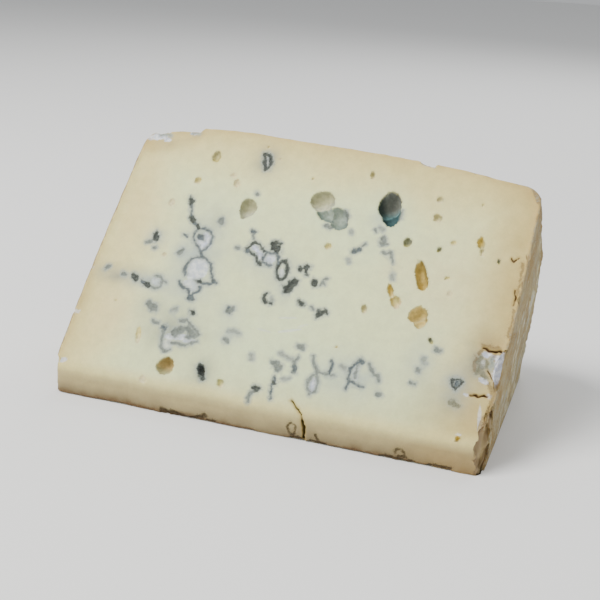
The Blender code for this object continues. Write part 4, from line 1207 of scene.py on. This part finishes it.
def cheese_material():
    """Paste, rind and mould in one material, told apart by what each point stores."""
    n = Nodes("cheese")
    paste, ink_sign, bloom_amount = paste_colour(n)
    ragged = n.math("MULTIPLY", n.math("SUBTRACT", n.noise(2.2, 5.0, 0.6, shift=11.0), 0.5), 1.6)
    inside = n.math("ADD", n.value("depth"), ragged)
    is_paste = n.ramp(inside, 0.10, 0.65)
    colour = n.mix(is_paste, rind_colour(n), paste)
    crack_core = n.ramp(n.value("crack"), -0.20, 0.16)
    crack_halo = n.ramp(n.value("crack"), -1.1, 0.0, 0.0, 0.50)
    colour = n.mix(crack_halo, colour, linear("haze_tan"))
    colour = n.mix(crack_core, colour, n.attribute("crack_colour").outputs["Color"])
    n.feed(n.shader.inputs["Base Color"], colour)

    wet = n.ramp(n.noise(5.0, 3.0, shift=12.0), 0.3, 0.7, 0.54, 0.70)
    rough = n.add("ShaderNodeMix", {"data_type": "FLOAT"})
    n.feed(rough.inputs[0], is_paste)
    n.feed(rough.inputs[2], 0.85)
    n.feed(rough.inputs[3], wet)
    dull = n.math("MAXIMUM", n.math("MULTIPLY", bloom_amount, 0.9), n.ramp(ink_sign, -0.3, 0.2, 0.0, 0.8))
    n.feed(n.shader.inputs["Roughness"], n.math("MAXIMUM", rough.outputs[0], dull))
    n.shader.inputs["Specular IOR Level"].default_value = 0.18
    n.shader.inputs["Subsurface Weight"].default_value = 0.18
    n.shader.inputs["Subsurface Radius"].default_value = (1.0, 0.72, 0.42)
    n.shader.inputs["Subsurface Scale"].default_value = 1.8 * MM

    grain = n.bump(n.noise(0.9, 4.0, 0.6, shift=13.0), 0.10, 0.6)
    drag = n.bump(n.noise(1.4, 3.0, 0.5, stretch=(0.12, 1.0, 1.0), shift=13.7), 0.07, 0.5, grain)
    fluff = n.bump(n.noise(0.45, 4.0, 0.7, shift=14.1), 0.30, 1.0, drag)
    crusty = n.bump(n.noise(1.5, 6.0, 0.70, shift=14.8), 0.75, 1.0, drag)
    normal = n.add("ShaderNodeMix", {"data_type": "VECTOR"})
    n.feed(normal.inputs[0], n.math("MAXIMUM", bloom_amount, n.ramp(ink_sign, -0.3, 0.2)))
    n.feed(normal.inputs[4], drag)
    n.feed(normal.inputs[5], fluff)
    outer = n.add("ShaderNodeMix", {"data_type": "VECTOR"})
    n.feed(outer.inputs[0], is_paste)
    n.feed(outer.inputs[4], crusty)
    n.feed(outer.inputs[5], normal.outputs[1])
    n.feed(n.shader.inputs["Normal"], outer.outputs[1])
    return n.material


# ------------------------------------------------------------------------------- the stage
FLOOR_SIZE = 6.0
FLOOR_COLOUR = (0.80, 0.80, 0.79, 1.0)
# Soft lights: place and size in metres, power in watts, colour.
LIGHTS = {
    "key": ((-0.55, -0.45, 1.00), 0.60, 21.0, (1.0, 0.985, 0.96)),
    "fill": ((0.85, -0.70, 0.55), 0.80, 3.0, (0.97, 0.985, 1.0)),
    "back": ((0.10, 0.90, 0.80), 0.70, 6.0, (1.0, 1.0, 1.0)),
}


def make_stage():
    """A plain pale floor, soft studio light and the camera."""
    bpy.ops.mesh.primitive_plane_add(size=FLOOR_SIZE, location=(0.0, 0.0, 0.0))
    floor = bpy.context.object
    floor.name = "floor"
    n = Nodes("floor")
    n.shader.inputs["Base Color"].default_value = FLOOR_COLOUR
    n.shader.inputs["Roughness"].default_value = 0.8
    n.shader.inputs["Specular IOR Level"].default_value = 0.2
    floor.data.materials.append(n.material)

    world = bpy.data.worlds.new("studio")
    bpy.context.scene.world = world
    world.use_nodes = True
    world.node_tree.nodes["Background"].inputs["Color"].default_value = (0.96, 0.98, 1.0, 1.0)
    world.node_tree.nodes["Background"].inputs["Strength"].default_value = 0.50
    for name, light in LIGHTS.items():
        add_light(name, *light)


def add_light(name, place, size, power, colour):
    """A square soft light aimed at the wedge."""
    light = bpy.data.lights.new(name, "AREA")
    light.shape = "SQUARE"
    light.size = size
    light.energy = power
    light.color = colour
    thing = bpy.data.objects.new(name, light)
    thing.location = place
    thing.rotation_euler = (Vector((0.0, 0.0, 0.03)) - Vector(place)).to_track_quat("-Z", "Y").to_euler()
    bpy.context.scene.collection.objects.link(thing)


# The camera, in mm from the foot of the nose facet at the middle of the wedge.
CAMERA_PLACE = (117.4, -314.1, 155.2)
CAMERA_AIM = (-2.6, 45.0, 31.5)
CAMERA_ROLL = math.radians(3.36)
CAMERA_LENS = 68.0


def make_camera(middle):
    """Look at the wedge from the front, right and above, turned slightly about the view."""
    place = (Vector(CAMERA_PLACE) - Vector(middle)) * MM
    aim = (Vector(CAMERA_AIM) - Vector(middle)) * MM
    data = bpy.data.cameras.new("camera")
    data.lens = CAMERA_LENS
    data.clip_start = 0.01
    camera = bpy.data.objects.new("camera", data)
    turn = (aim - place).to_track_quat("-Z", "Y").to_matrix() @ Matrix.Rotation(CAMERA_ROLL, 3, "Z")
    camera.matrix_world = Matrix.Translation(place) @ turn.to_4x4()
    bpy.context.scene.collection.objects.link(camera)
    bpy.context.scene.camera = camera


def main():
    cheese, middle = make_cheese()
    cheese.data.materials.append(cheese_material())
    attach(cheese, "root")
    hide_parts("cheese_wedge")
    make_stage()
    make_camera(middle)


main()
